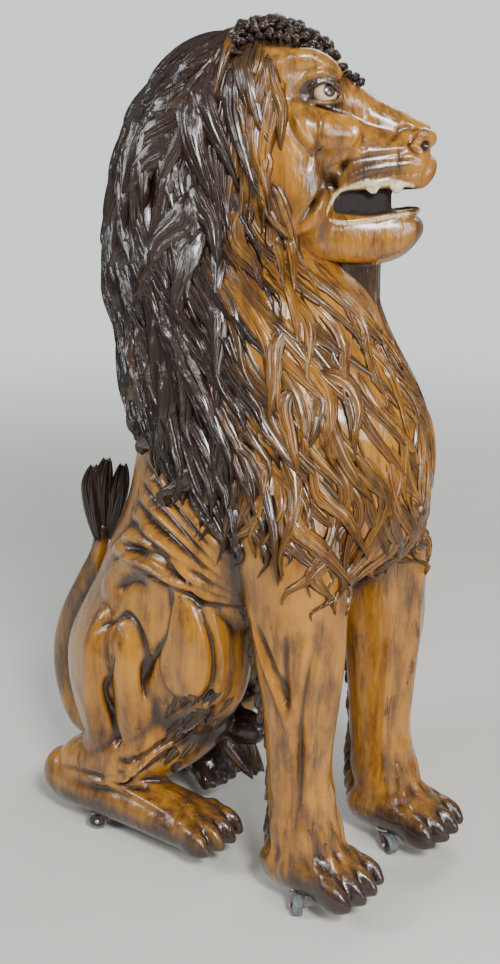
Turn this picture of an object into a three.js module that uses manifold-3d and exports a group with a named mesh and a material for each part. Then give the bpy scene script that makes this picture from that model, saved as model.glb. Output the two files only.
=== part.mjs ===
// A seated lion carved from one laminated block of varnished wood, standing on four swivel casters.
// Millimetres. +X is the way the chest faces, +Y is the lion's left side, +Z is up.

import * as THREE from 'three';
import { mergeVertices } from 'three/addons/utils/BufferGeometryUtils.js';
import Module from 'manifold-3d';

const wasm = await Module();
wasm.setup();

// Driving sizes of the carving
const FIGURE_HEIGHT = 1518; // from the sawn soles to the top of the crown

// Driving sizes of a caster
const WHEEL_DIAMETER = 40;
const TREAD_WIDTH = 19;
const TREAD_THICKNESS = 5;
const AXLE_DIAMETER = 6;
const AXLE_HEAD_HEIGHT = 2.2;
const AXLE_HEAD_DIAMETER = 9;
const FORK_WALL = 2.5;
const FORK_LEG_WIDTH = 13;
const CROWN_DIAMETER = 32;
const TRAIL = 20; // from the swivel axis back to the axle
const KINGPIN_DIAMETER = 9;
const PLATE_DIAMETER = 36;
const PLATE_THICKNESS = 3;
const CLEARANCE = 1.5; // between parts that turn past each other
const FIT = 0.3; // between parts that touch
const SOLE_ABOVE_WHEEL = 2; // from the top of a wheel to the sawn sole
const POCKET_CLEARANCE = 1.5; // round the plate in its pocket

// Heights of a caster, from the floor up
const axleHeight = WHEEL_DIAMETER / 2;
const crownBottom = WHEEL_DIAMETER + CLEARANCE;
const crownTop = crownBottom + FORK_WALL;
const plateBottom = crownTop + CLEARANCE;
const plateTop = plateBottom + PLATE_THICKNESS;
const soleHeight = WHEEL_DIAMETER + SOLE_ABOVE_WHEEL;

// The carving is drawn in shares of its own height: DRAWN_HEIGHT units from the sole line to the crown
const DRAWN_HEIGHT = 1518;
const DRAWN_SOLE = 42; // height of the sole line in the drawing
const unit = FIGURE_HEIGHT / DRAWN_HEIGHT;

/** Turns a point of the drawing into a place in the part. */
const at = (x, y, z) => new THREE.Vector3(x, y, z - DRAWN_SOLE).multiplyScalar(unit)
  .add(new THREE.Vector3(0, 0, soleHeight));

const NEAR = -1; // the lion's right
const FAR = 1; // the lion's left
const SIDES = [NEAR, FAR];
const UP = new THREE.Vector3(0, 0, 1);
const LEFT = new THREE.Vector3(0, 1, 0);

// Solids

/** Makes a solid of a closed geometry. */
function solidOf(geometry) {
  const bare = geometry.clone();
  bare.deleteAttribute('normal');
  bare.deleteAttribute('uv');
  const merged = mergeVertices(bare, 1e-3);
  return new wasm.Manifold(new wasm.Mesh({
    numProp: 3,
    vertProperties: new Float32Array(merged.attributes.position.array),
    triVerts: new Uint32Array(merged.index.array),
  }));
}

/** Turns a solid back into a geometry. */
function geometryOf(solid) {
  const mesh = solid.getMesh();
  const geometry = new THREE.BufferGeometry();
  geometry.setAttribute('position', new THREE.BufferAttribute(mesh.vertProperties, 3));
  geometry.setIndex(new THREE.BufferAttribute(mesh.triVerts, 1));
  geometry.computeVertexNormals();
  return geometry;
}

/** Joins a list of solids into one. */
const join = (solids) => solids.reduce((whole, next) => whole.add(next));

/**
 * Bends a sphere along a curve: a closed body whose oval sections follow the stations.
 * A station is [x, y, z, wide, deep] in the drawing; wide is half its size along the across vector.
 */
function loft(stations, { sides = 10, rings = 10, across = LEFT, blunt = 5, level = false, place = at } = {}) {
  const spine = new THREE.CatmullRomCurve3(stations.map(([x, y, z]) => place(x, y, z)), false, 'catmullrom', 0.5);
  const sizes = new THREE.CatmullRomCurve3(
    stations.map(([, , , wide, deep]) => new THREE.Vector3(wide, deep, 0).multiplyScalar(unit)),
    false, 'catmullrom', 0.5);
  const geometry = new THREE.SphereGeometry(1, sides, rings);
  const points = geometry.attributes.position;
  for (let i = 0; i < points.count; i += 1) {
    const onSphere = new THREE.Vector3().fromBufferAttribute(points, i);
    const along = Math.acos(THREE.MathUtils.clamp(onSphere.y, -1, 1)) / Math.PI;
    const cap = (1 - Math.abs(2 * along - 1) ** blunt) ** (1 / blunt);
    const turn = Math.atan2(onSphere.z, onSphere.x);
    const size = sizes.getPoint(along);
    const tangent = level ? UP.clone().negate() : spine.getTangent(along);
    const wideAxis = across.clone().addScaledVector(tangent, -across.dot(tangent)).normalize();
    const deepAxis = new THREE.Vector3().crossVectors(wideAxis, tangent);
    const point = spine.getPoint(along)
      .addScaledVector(wideAxis, Math.cos(turn) * size.x * cap)
      .addScaledVector(deepAxis, Math.sin(turn) * size.y * cap);
    points.setXYZ(i, point.x, point.y, point.z);
  }
  const solid = solidOf(geometry);
  return solid.volume() < 0 ? solidOf(turnedInsideOut(geometry)) : solid;
}

/** Swaps the winding of every triangle. */
function turnedInsideOut(geometry) {
  const index = geometry.index.array;
  for (let i = 0; i < index.length; i += 3) [index[i], index[i + 1]] = [index[i + 1], index[i]];
  return geometry;
}

/** An ellipsoid with its centre and half sizes in the drawing. */
function lump([x, y, z], [long, wide, high], { sides = 10, rings = 7, place = at } = {}) {
  const geometry = new THREE.SphereGeometry(unit, sides, rings);
  geometry.rotateX(Math.PI / 2);
  geometry.scale(long, wide, high);
  const centre = place(x, y, z);
  geometry.translate(centre.x, centre.y, centre.z);
  return solidOf(geometry);
}

// The trunk: level oval sections from the rump up to the crown, [x, y, z, half width, half depth]
const TRUNK = [
  [-500, 0, 75, 70, 90],
  [-490, 0, 130, 115, 140],
  [-472, 0, 200, 135, 180],
  [-452, 0, 280, 155, 206],
  [-420, 0, 360, 170, 222],
  [-365, 0, 440, 180, 232],
  [-300, 0, 516, 190, 250],
  [-235, 0, 596, 195, 278],
  [-172, 0, 675, 200, 308],
  [-148, 0, 752, 203, 306],
  [-140, 0, 847, 205, 292],
  [-149, 0, 903, 205, 297],
  [-190, 0, 1013, 195, 266],
  [-225, 0, 1102, 188, 262],
  [-272, 0, 1199, 178, 195],
  [-275, 0, 1310, 165, 165],
  [-262, 0, 1410, 140, 140],
  [-235, 0, 1491, 108, 108],
  [-205, 0, 1546, 44, 50],
];

/** The trunk's section at a height of the drawing: centre and half sizes. */
function trunkAt(z) {
  const last = TRUNK.length - 1;
  const upper = TRUNK.findIndex((station, i) => i > 0 && (station[2] >= z || i === last));
  const [low, high] = [TRUNK[upper - 1], TRUNK[upper]];
  const share = THREE.MathUtils.clamp((z - low[2]) / (high[2] - low[2]), 0, 1);
  const [x, , , wide, deep] = low.map((value, i) => THREE.MathUtils.lerp(value, high[i], share));
  return { x, wide, deep };
}

/** A place of the drawing on the trunk's skin, lifted off it by a distance. Angle 0 is the front. */
function onTrunk(angle, z, lift = 0) {
  const { x, wide, deep } = trunkAt(z);
  return [x + (deep + lift) * Math.cos(angle), (wide + lift) * Math.sin(angle), z];
}

const trunk = () => loft(TRUNK, { sides: 16, rings: 15, level: true, blunt: 8 });

// Limbs

const FORELEG_SPREAD = 138; // from the middle plane to the axis of a foreleg
const FORELEG = [ // [x, height, half width, half depth]
  [-60, 840, 80, 115],
  [-25, 700, 86, 108],
  [-8, 590, 78, 98],
  [0, 480, 71, 88],
  [5, 390, 62, 73],
  [3, 283, 57, 62],
  [8, 210, 58, 62],
  [20, 140, 64, 74],
  [25, 80, 60, 70],
];
const FOREPAW = [ // [x, height, half width, half height]
  [-62, 95, 40, 40],
  [-30, 80, 60, 55],
  [40, 78, 68, 60],
  [100, 72, 70, 48],
  [150, 60, 58, 30],
];
const TOES = 4;
const FAR_PAW_REACH = 16; // the far forepaw is set further forward than the near one

/** The toes of a paw: rounded lumps side by side at its front. */
function toes(frontX, y, height, pawWidth, long, high) {
  const pitch = pawWidth / TOES;
  return Array.from({ length: TOES }, (_, i) => {
    const aside = (i - (TOES - 1) / 2) * pitch;
    const back = Math.abs(aside) * 0.22;
    return lump([frontX - back, y + aside, height], [long, pitch * 0.56, high], { sides: 6, rings: 5 });
  });
}

function foreleg(side) {
  const y = side * FORELEG_SPREAD;
  const reach = side === FAR ? FAR_PAW_REACH : 0;
  const leg = loft(FORELEG.map(([x, z, wide, deep]) => [x, y, z, wide, deep]),
    { sides: 9, rings: 10, level: true });
  const paw = loft(FOREPAW.map(([x, z, wide, high]) => [x + reach, y, z, wide, high]),
    { sides: 9, rings: 7 });
  return join([leg, paw, ...toes(122 + reach, y, 68, 140, 48, 34)]);
}

const nearHindFoot = [ // [x, y, height, half width, half height]
  [-592, -156, 72, 34, 40],
  [-560, -154, 70, 56, 54],
  [-440, -148, 70, 64, 52],
  [-320, -146, 68, 66, 50],
  [-225, -145, 64, 68, 46],
  [-168, -145, 58, 58, 32],
];
const farHindFoot = [
  [-630, 158, 85, 30, 30],
  [-590, 148, 82, 55, 50],
  [-500, 118, 78, 60, 45],
  [-420, 92, 76, 60, 42],
  [-350, 62, 76, 56, 40],
  [-315, 50, 65, 48, 30],
];
const HAUNCH_CENTRE = [-305, 120, 440];
const HAUNCH_SIZE = [184, 84, 208];
const THIGH_CENTRE = [-208, 168, 408];
const THIGH_SIZE = [98, 52, 162];
const CALF = [ // [x, distance from the middle plane, height, half width, half depth]
  [-306, 118, 300, 66, 54],
  [-350, 128, 215, 70, 62],
  [-420, 138, 165, 66, 62],
  [-500, 146, 130, 58, 56],
  [-565, 150, 104, 48, 48],
];
const BELLY_FUR = [ // the mass of fur between the belly and the near hind foot: [x, y, height, half width, half depth]
  [-228, -74, 322, 62, 44],
  [-262, -84, 262, 70, 54],
  [-320, -100, 200, 78, 58],
  [-400, -116, 150, 70, 50],
];
const SHANK = [ // the same, from the hip down to the heel
  [-376, 164, 515, 42, 46],
  [-412, 172, 430, 46, 62],
  [-442, 175, 330, 48, 70],
  [-470, 170, 235, 48, 68],
  [-520, 158, 150, 46, 60],
  [-570, 150, 95, 40, 45],
];

function hindleg(side) {
  const onSide = ([x, y, z, ...sizes]) => [x, side * y, z, ...sizes];
  const haunch = lump(onSide(HAUNCH_CENTRE), HAUNCH_SIZE, { sides: 14, rings: 9 });
  const thigh = lump(onSide(THIGH_CENTRE), THIGH_SIZE, { sides: 10, rings: 8 });
  const calf = loft(CALF.map(onSide), { sides: 8, rings: 6 });
  const shank = loft(SHANK.map(onSide), { sides: 8, rings: 7 });
  const foot = side === NEAR ? nearHindFoot : farHindFoot;
  const sole = loft(foot, { sides: 8, rings: 8 });
  const front = side === NEAR
    ? toes(-196, -145, 70, 128, 44, 30)
    : toes(-330, 58, 68, 108, 40, 28);
  return join([haunch, thigh, calf, shank, sole, ...front]);
}

const TAIL = [
  [-590, 0, 105, 40, 45],
  [-664, 0, 125, 36, 42],
  [-697, 0, 200, 32, 42],
  [-700, 0, 280, 30, 40],
  [-676, 0, 360, 28, 36],
  [-636, 0, 440, 25, 30],
  [-600, 0, 520, 20, 22],
  [-588, 0, 590, 26, 28],
];
const TAIL_TUFT = [ // one row of stations for each carved lobe
  [[-594, -12, 560, 18, 18], [-602, -16, 615, 20, 20], [-602, -18, 665, 17, 17], [-594, -18, 704, 7, 7]],
  [[-590, 4, 560, 18, 18], [-594, 2, 625, 20, 20], [-588, 0, 680, 17, 17], [-578, 0, 718, 7, 7]],
  [[-596, 8, 535, 18, 18], [-566, 14, 610, 19, 19], [-547, 16, 668, 16, 16], [-534, 14, 712, 7, 7]],
];

const tail = () => join([
  loft(TAIL, { sides: 7, rings: 10 }),
  ...TAIL_TUFT.map((lobe) => loft(lobe, { sides: 5, rings: 5, blunt: 3 })),
]);

// The head, drawn in its own frame: x towards the nose, y to the lion's left, z up
const HEAD_TURN = THREE.MathUtils.degToRad(28);
const HEAD_CENTRE = [-118, 32, 1430];
const headFrame = new THREE.Matrix4().makeRotationZ(HEAD_TURN).setPosition(...HEAD_CENTRE);

/** Turns a point of the head's own frame into a place in the part. */
function inHead(x, y, z) {
  const point = new THREE.Vector3(x, y, z).applyMatrix4(headFrame);
  return at(point.x, point.y, point.z);
}
const headLeft = LEFT.clone().transformDirection(headFrame);
const headLoft = (stations, options) => loft(stations, { place: inHead, across: headLeft, ...options });

/** An ellipsoid in the head's frame. */
function headLump(centre, size, options) {
  return turnedInHead(lump([0, 0, 0], size, { ...options, place: () => new THREE.Vector3() }), centre);
}

/** Places a solid drawn round the origin at a point of the head, turned with it. */
function turnedInHead(solid, [x, y, z]) {
  const place = new THREE.Matrix4().makeRotationZ(HEAD_TURN).setPosition(inHead(x, y, z));
  return solid.transform(place.elements);
}

// [x, y, z of the section's middle, half width, half height]
const SKULL = [
  [-120, 0, -50, 90, 150],
  [-70, 0, -40, 112, 170],
  [-20, 0, -58, 116, 170],
  [30, 0, -72, 108, 136],
  [80, 0, -70, 86, 100],
  [130, 0, -78, 66, 76],
  [180, 0, -90, 60, 66],
  [216, 0, -94, 54, 56],
  [230, 0, -92, 36, 40],
];
const JAW = [
  [-40, 0, -190, 84, 60],
  [20, 0, -222, 78, 52],
  [80, 0, -240, 62, 34],
  [130, 0, -240, 54, 38],
  [180, 0, -228, 46, 34],
  [212, 0, -212, 34, 18],
];
const BEARD_BLOCK = { from: [70, -42, -352], to: [140, 42, -262] };

/** Features that come in pairs, on one side of the face. */
function faceSide(side) {
  const brow = headLoft([
    [-20, side * 84, 60, 14, 16], [20, side * 84, 62, 18, 18], [56, side * 66, 44, 18, 16],
    [72, side * 42, 24, 14, 14]], { sides: 5, rings: 5 });
  const eye = headLump([42, side * 78, 14], [24, 18, 16], { sides: 8, rings: 5 });
  const cheek = headLump([6, side * 74, -96], [72, 36, 70], { sides: 9, rings: 6 });
  const lip = headLoft([
    [40, side * 66, -150, 14, 18], [95, side * 60, -138, 15, 18], [150, side * 48, -134, 16, 20],
    [205, side * 26, -122, 18, 22]], { sides: 6, rings: 5 });
  const nostril = headLump([206, side * 24, -60], [24, 20, 18], { sides: 6, rings: 5 });
  const ear = headLoft([
    [-78, side * 96, 20, 22, 18], [-84, side * 116, 60, 26, 20], [-78, side * 128, 104, 9, 8]],
    { sides: 5, rings: 4, blunt: 3 });
  const tooth = headLump([176, side * 26, -150], [9, 8, 20], { sides: 5, rings: 4 });
  return [brow, eye, cheek, lip, nostril, ear, tooth];
}

/** Small curls across the crown and a curly forelock down between the brows. */
function crownCurls() {
  const curls = [];
  for (const [x, height] of [[-58, 114], [-16, 108], [20, 76]]) {
    [-52, 0, 52].forEach((y) => {
      curls.push(headLump([x, y, height - Math.abs(y) * 0.35], [27, 30, 24], { sides: 6, rings: 4 }));
    });
  }
  const forelock = [[54, 44], [84, 26], [110, 6]];
  forelock.forEach(([x, z]) => curls.push(headLump([x, 0, z], [19, 18, 14], { sides: 6, rings: 4 })));
  return curls;
}

function head() {
  const skull = headLoft(SKULL, { sides: 13, rings: 9 });
  const jaw = headLoft(JAW, { sides: 9, rings: 6 });
  const { from, to } = BEARD_BLOCK;
  const size = to.map((value, i) => (value - from[i]) * unit);
  const middle = to.map((value, i) => (value + from[i]) / 2);
  const beard = turnedInHead(solidOf(new THREE.BoxGeometry(...size)), middle);
  return join([skull, jaw, beard, ...SIDES.flatMap(faceSide), ...crownCurls()]);
}

// The mane: a shell over the trunk whose relief is tiers of long ridged locks
const MANE_TOP = TRUNK[TRUNK.length - 1][2] + 20; // a little above the trunk's last section
const MANE_BOTTOM = 560;
const LOCKS_ROUND = 14;
const SAMPLES_PER_LOCK = 4;
const MANE_RINGS = 31;
const TIER_PITCH = 118;
const LOCK_LENGTH = 226;
const BACK_RISE = 30; // of a ridge above the trunk's skin, behind
const CHEST_RISE = 17; // the same on the chest
const LOCK_SWAY = 0.26; // share of a lock's width that it swings aside
const UNDER_SKIN = -16; // depth of the shell where the mane ends, inside the trunk

/** Height of the mane's lower edge at an angle round the trunk. */
function maneEdge(angle) {
  return THREE.MathUtils.lerp(600, 850, THREE.MathUtils.smoothstep(Math.abs(angle), 0.9, 2.5));
}

const CHEEK_EDGE = { above: 1170, within: 1.2 }; // the face's sides: a height, and an angle from its middle
const CHIN_EDGE = { above: 1090, within: 0.5 };

/** True where the face leaves no room for the mane. */
function onFace(angle, z) {
  const fromFace = Math.abs(angle - HEAD_TURN);
  return [CHEEK_EDGE, CHIN_EDGE].some(({ above, within }) => z > above && fromFace < within);
}

/** One lock's rise at a place on the trunk, in a tier counted from the top. */
function lockRise(angle, z, tier) {
  const share = (MANE_TOP - tier * TIER_PITCH - z) / LOCK_LENGTH;
  if (share < 0 || share >= 1) return 0;
  const sway = LOCK_SWAY * Math.sin(share * 5 + tier * 1.7);
  const column = (angle / (2 * Math.PI)) * LOCKS_ROUND + (tier % 2) / 2 + sway;
  const fromRidge = 2 * Math.abs(THREE.MathUtils.euclideanModulo(column, 1) - 0.5);
  const halfWidth = 1.1 * (1 - share ** 2);
  if (fromRidge >= halfWidth) return 0;
  const full = THREE.MathUtils.lerp(CHEST_RISE, BACK_RISE, Math.abs(angle) / Math.PI);
  return full * (0.4 + 0.6 * share) * (1 - (fromRidge / halfWidth) ** 2) * Math.min(1, share * 6);
}

/** How far the mane's shell stands off the trunk's skin. */
function maneRise(angle, z) {
  const tier = Math.floor((MANE_TOP - z) / TIER_PITCH);
  const rise = Math.max(lockRise(angle, z, tier), lockRise(angle, z, tier - 1));
  const tips = 34 * Math.cos(angle * LOCKS_ROUND);
  return z < maneEdge(angle) + tips || onFace(angle, z) ? UNDER_SKIN : rise;
}

function mane() {
  const geometry = new THREE.SphereGeometry(1, LOCKS_ROUND * SAMPLES_PER_LOCK, MANE_RINGS);
  geometry.rotateX(Math.PI / 2);
  const points = geometry.attributes.position;
  for (let i = 0; i < points.count; i += 1) {
    const onSphere = new THREE.Vector3().fromBufferAttribute(points, i);
    const down = Math.acos(THREE.MathUtils.clamp(onSphere.z, -1, 1)) / Math.PI;
    const angle = Math.atan2(onSphere.y, onSphere.x);
    const z = THREE.MathUtils.lerp(MANE_TOP, MANE_BOTTOM, down);
    const pole = Math.abs(down - 0.5) > 0.499;
    const { x, wide, deep } = trunkAt(z);
    const rise = maneRise(angle, z);
    const point = pole ? at(x, 0, z) : at(
      x + (deep + rise) * Math.cos(angle), (wide + rise) * Math.sin(angle), z);
    points.setXYZ(i, point.x, point.y, point.z);
  }
  return solidOf(geometry);
}

// Skin folds over the ribs, on both flanks
const FOLDS = 5;
function folds(side) {
  return Array.from({ length: FOLDS }, (_, i) => {
    const low = 640 + i * 34;
    const stations = [0, 1, 2, 3].map((step) => {
      const angle = side * (1.62 + 0.26 * step);
      const [x, y, z] = onTrunk(angle, low + step * step * 9 + step * 6, -2);
      return [x, y, z, 9, 13];
    });
    return loft(stations, { sides: 5, rings: 6, across: LEFT });
  });
}

/** The knob of the belly, the tuft of fur below it and the fur beside it. */
function bellyTuft() {
  const knob = lump([-222, 0, 222], [52, 34, 36], { sides: 8, rings: 6 });
  const neck = loft([[-330, 0, 250, 50, 55], [-260, 0, 225, 40, 40], [-215, 0, 220, 28, 26]],
    { sides: 8, rings: 5 });
  const tuft = [-16, 16].map((y) => loft(
    [[-255, y, 200, 22, 18], [-225, y, 160, 20, 17], [-190, y * 0.6, 118, 8, 8]],
    { sides: 5, rings: 5, blunt: 3 }));
  return [knob, neck, ...tuft, loft(BELLY_FUR, { sides: 8, rings: 6 })];
}

// Casters: place of the swivel axis on the drawing, and the way the wheel trails from it, in degrees
const CASTERS = [
  { name: 'near_front', x: 27, y: -175, heading: -53.5 },
  { name: 'far_front', x: 50, y: 96, heading: -28.5 },
  { name: 'near_rear', x: -442, y: -172, heading: -143.5 },
  { name: 'far_rear', x: -450, y: 100, heading: 160 },
];

/** A disc or ring with its axis along Z, from a height to another. */
function ring(inner, outer, bottom, top, segments = 12) {
  const profile = [[inner, bottom], [outer, bottom], [outer, top], [inner, top], [inner, bottom]];
  const geometry = new THREE.LatheGeometry(profile.map(([r, z]) => new THREE.Vector2(r, z)), segments);
  geometry.rotateX(Math.PI / 2);
  return geometry;
}

/** The pocket that a caster's plate sits in. */
function pocket({ x, y }) {
  const depth = plateTop + FIT - soleHeight;
  const extra = 5; // the cutter runs out below the sole
  const cutter = new THREE.CylinderGeometry(
    PLATE_DIAMETER / 2 + POCKET_CLEARANCE, PLATE_DIAMETER / 2 + POCKET_CLEARANCE, depth + extra, 12);
  cutter.rotateX(Math.PI / 2);
  const centre = at(x, y, DRAWN_SOLE);
  cutter.translate(centre.x, centre.y, soleHeight + (depth - extra) / 2);
  return solidOf(cutter);
}

/** Everything below the sole line, which is sawn off flat. */
function belowSoles() {
  const slab = new THREE.BoxGeometry(2 * FIGURE_HEIGHT, 2 * FIGURE_HEIGHT, soleHeight);
  slab.translate(0, 0, soleHeight / 2);
  return solidOf(slab);
}

function lion() {
  const body = join([
    trunk(), mane(), head(), tail(), ...bellyTuft(),
    ...SIDES.flatMap((side) => [foreleg(side), hindleg(side), ...folds(side)]),
  ]);
  const cuts = join([belowSoles(), ...CASTERS.map(pocket)]);
  return geometryOf(body.subtract(cuts));
}

// Materials
const varnishedWood = new THREE.MeshStandardMaterial({ color: 0x8a5320, roughness: 0.35, metalness: 0 });
const zincSteel = new THREE.MeshStandardMaterial({ color: 0x8d9094, roughness: 0.4, metalness: 0.9 });
const darkSteel = new THREE.MeshStandardMaterial({ color: 0x3a2a26, roughness: 0.5, metalness: 0.7 });
const blackPlastic = new THREE.MeshStandardMaterial({ color: 0x1c1a1e, roughness: 0.5, metalness: 0 });
const greyRubber = new THREE.MeshStandardMaterial({ color: 0x6f7a78, roughness: 0.7, metalness: 0 });

function named(name, geometry, material) {
  const mesh = new THREE.Mesh(geometry, material);
  mesh.name = name;
  return mesh;
}

/** The fork: a round crown, a kingpin into the plate and two slanting legs to the axle. */
function forkGeometry() {
  const crown = solidOf(ring(0, CROWN_DIAMETER / 2, crownBottom, crownTop));
  const kingpin = solidOf(ring(0, KINGPIN_DIAMETER / 2, crownBottom + FORK_WALL / 2, plateTop - FIT, 8));
  const outline = new THREE.Shape();
  const half = FORK_LEG_WIDTH / 2;
  outline.moveTo(-half, crownTop);
  outline.lineTo(TRAIL - half, axleHeight);
  outline.absarc(TRAIL, axleHeight, half, Math.PI, 2 * Math.PI, false);
  outline.lineTo(half, crownTop);
  const eye = new THREE.Path();
  eye.absarc(TRAIL, axleHeight, AXLE_DIAMETER / 2 + FIT, 0, 2 * Math.PI, true);
  outline.holes.push(eye);
  const inside = TREAD_WIDTH / 2 + CLEARANCE;
  const legs = [inside, -inside - FORK_WALL].map((start) => {
    const leg = new THREE.ExtrudeGeometry(outline, { depth: FORK_WALL, bevelEnabled: false, curveSegments: 4 });
    leg.rotateX(Math.PI / 2);
    leg.translate(0, start + FORK_WALL, 0);
    return solidOf(leg);
  });
  return geometryOf(join([crown, kingpin, ...legs]));
}

/** The axle pin with a domed head on both ends, its axis along Y. */
function axleGeometry() {
  const reach = TREAD_WIDTH / 2 + CLEARANCE + FORK_WALL + FIT;
  const profile = [
    [0, -reach - AXLE_HEAD_HEIGHT], [AXLE_HEAD_DIAMETER * 0.3, -reach - AXLE_HEAD_HEIGHT],
    [AXLE_HEAD_DIAMETER / 2, -reach], [AXLE_DIAMETER / 2, -reach],
    [AXLE_DIAMETER / 2, reach], [AXLE_HEAD_DIAMETER / 2, reach],
    [AXLE_HEAD_DIAMETER * 0.3, reach + AXLE_HEAD_HEIGHT], [0, reach + AXLE_HEAD_HEIGHT],
  ];
  return new THREE.LatheGeometry(profile.map(([r, y]) => new THREE.Vector2(r, y)), 8);
}

/** The wheel's dark core, a little narrower than its tread, its axis along Y. */
function hubGeometry() {
  const hubRadius = WHEEL_DIAMETER / 2 - TREAD_THICKNESS - FIT;
  const half = TREAD_WIDTH / 2 - 1;
  return ring(AXLE_DIAMETER / 2 + FIT, hubRadius, -half, half, 14).rotateX(Math.PI / 2);
}

/** The rubber tyre with rounded shoulders, its axis along Y. */
function treadGeometry() {
  const outer = WHEEL_DIAMETER / 2;
  const inner = outer - TREAD_THICKNESS;
  const half = TREAD_WIDTH / 2;
  const shoulder = TREAD_THICKNESS * 0.35;
  const profile = [
    [inner, -half], [outer - shoulder, -half], [outer, -half + shoulder],
    [outer, half - shoulder], [outer - shoulder, half], [inner, half], [inner, -half],
  ];
  return new THREE.LatheGeometry(profile.map(([r, y]) => new THREE.Vector2(r, y)), 18);
}

/** One caster with its nodes, its swivel axis on the group's Z axis and its trail along the group's X. */
function caster({ name, x, y, heading }) {
  const group = new THREE.Group();
  const centre = at(x, y, DRAWN_SOLE);
  group.position.set(centre.x, centre.y, 0);
  group.rotation.z = THREE.MathUtils.degToRad(heading);
  const plate = ring(KINGPIN_DIAMETER / 2 + FIT, PLATE_DIAMETER / 2, plateBottom, plateTop);
  group.add(
    named(`plate_${name}`, plate, zincSteel),
    named(`fork_${name}`, forkGeometry(), darkSteel),
  );
  const wheel = new THREE.Group();
  wheel.position.set(TRAIL, 0, axleHeight);
  wheel.add(
    named(`axle_${name}`, axleGeometry(), zincSteel),
    named(`hub_${name}`, hubGeometry(), blackPlastic),
    named(`tread_${name}`, treadGeometry(), greyRubber),
  );
  group.add(wheel);
  return group;
}

const part = new THREE.Group();
part.add(named('lion', lion(), varnishedWood));
CASTERS.forEach((placed) => part.add(caster(placed)));

// The origin is on the floor, under the middle of the part's box
const box = new THREE.Box3().setFromObject(part);
const middle = box.getCenter(new THREE.Vector3());
part.position.set(-middle.x, -middle.y, 0);

export default part;
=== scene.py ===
"""A seated wooden lion on four swivel casters, dressed for rendering.

The carving is modelled like clay: bent and rounded forms are fused into one skin, muscle ridges and creases
are pushed into it, and the locks of the mane are laid on top. Tables are in millimetres, in the drawing's
frame of the CAD part: +X is the way the chest faces, +Y the lion's left, +Z up from the floor.
"""
import logging
import math
import random
from dataclasses import dataclass, field
from enum import Enum
from functools import lru_cache
from typing import Iterable, Sequence

import bmesh
import bpy
import numpy as np
from mathutils import Matrix, Vector
from mathutils.bvhtree import BVHTree


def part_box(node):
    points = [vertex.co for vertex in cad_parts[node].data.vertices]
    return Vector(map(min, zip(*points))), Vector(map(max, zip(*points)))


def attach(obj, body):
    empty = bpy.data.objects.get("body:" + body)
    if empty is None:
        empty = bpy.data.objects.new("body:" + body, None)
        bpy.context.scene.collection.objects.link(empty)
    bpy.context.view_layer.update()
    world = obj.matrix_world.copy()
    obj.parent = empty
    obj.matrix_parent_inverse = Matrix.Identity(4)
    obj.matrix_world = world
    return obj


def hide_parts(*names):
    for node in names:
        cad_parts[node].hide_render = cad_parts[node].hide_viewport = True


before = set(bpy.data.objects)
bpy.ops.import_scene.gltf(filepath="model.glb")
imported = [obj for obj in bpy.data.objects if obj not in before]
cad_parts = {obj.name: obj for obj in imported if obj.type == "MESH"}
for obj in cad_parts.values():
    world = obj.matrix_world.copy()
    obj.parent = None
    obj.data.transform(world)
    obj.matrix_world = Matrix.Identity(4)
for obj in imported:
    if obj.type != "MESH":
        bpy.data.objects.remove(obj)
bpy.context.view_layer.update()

log = logging.getLogger("lion")

PAINTS = ("across", "tint", "dark", "hollow", "worn", "mouth")

Row = Sequence[float]
MILLIMETRE = 0.001
CARVING_BODY = "carving"
SOLE_HEIGHT = 42.0
# What one piece may keep once it is thinned out
MOST_TRIANGLES = 185000
# Half the narrowest groove that the skin can show, in remesh cells
FINEST_GROOVE = 2.8
# The level direction that runs to the right in the photograph, along which the mane's stain fades
PHOTO_RIGHT = (0.804, 0.595)
NECK_X = -120


class Side(Enum):
    """The lion's right side, which the camera sees, and its left side."""

    NEAR = -1
    FAR = 1


class Caster(Enum):
    """The four casters by name: swivel place in millimetres and the way the wheel trails, in degrees."""

    NEAR_FRONT = (27.0, -175.0, -53.5)
    FAR_FRONT = (50.0, 96.0, -28.5)
    NEAR_REAR = (-442.0, -172.0, -143.5)
    FAR_REAR = (-450.0, 100.0, 160.0)


def part_shift() -> Vector:
    """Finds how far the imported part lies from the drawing's frame.

    Returns:
        The sideways shift, in metres.
    """
    low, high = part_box("plate_near_front")
    middle = (Vector(low) + Vector(high)) / 2
    x, y, _ = Caster.NEAR_FRONT.value
    return Vector((middle.x - x * MILLIMETRE, middle.y - y * MILLIMETRE, 0))


SHIFT = part_shift()


def to_part(points: np.ndarray) -> np.ndarray:
    """Turns drawing millimetres into metres of the part's frame.

    Args:
        points: Rows of x, y, z in millimetres.

    Returns:
        The same rows in metres.
    """
    return points * MILLIMETRE + np.array(SHIFT)


def smooth_rows(table: np.ndarray, share: np.ndarray) -> np.ndarray:
    """Reads a table of rows as one smooth curve.

    Args:
        table: The rows that the curve passes through.
        share: Places along the curve, from 0 at the first row to 1 at the last.

    Returns:
        One row of values for each place.
    """
    last = len(table) - 1
    place = np.clip(share, 0, 1) * last
    row = np.clip(place.astype(int), 0, last - 1)
    rest = (place - row)[:, None]
    padded = np.vstack([2 * table[0] - table[1], table, 2 * table[-1] - table[-2]])
    before, start, end, after = padded[row], padded[row + 1], padded[row + 2], padded[row + 3]
    return 0.5 * (2 * start + (end - before) * rest + (2 * before - 5 * start + 4 * end - after) * rest ** 2
                  + (3 * start - before - 3 * end + after) * rest ** 3)


def unit_rows(rows: np.ndarray) -> np.ndarray:
    """Scales each row to length one."""
    return rows / np.maximum(np.linalg.norm(rows, axis=1, keepdims=True), 1e-9)


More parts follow.
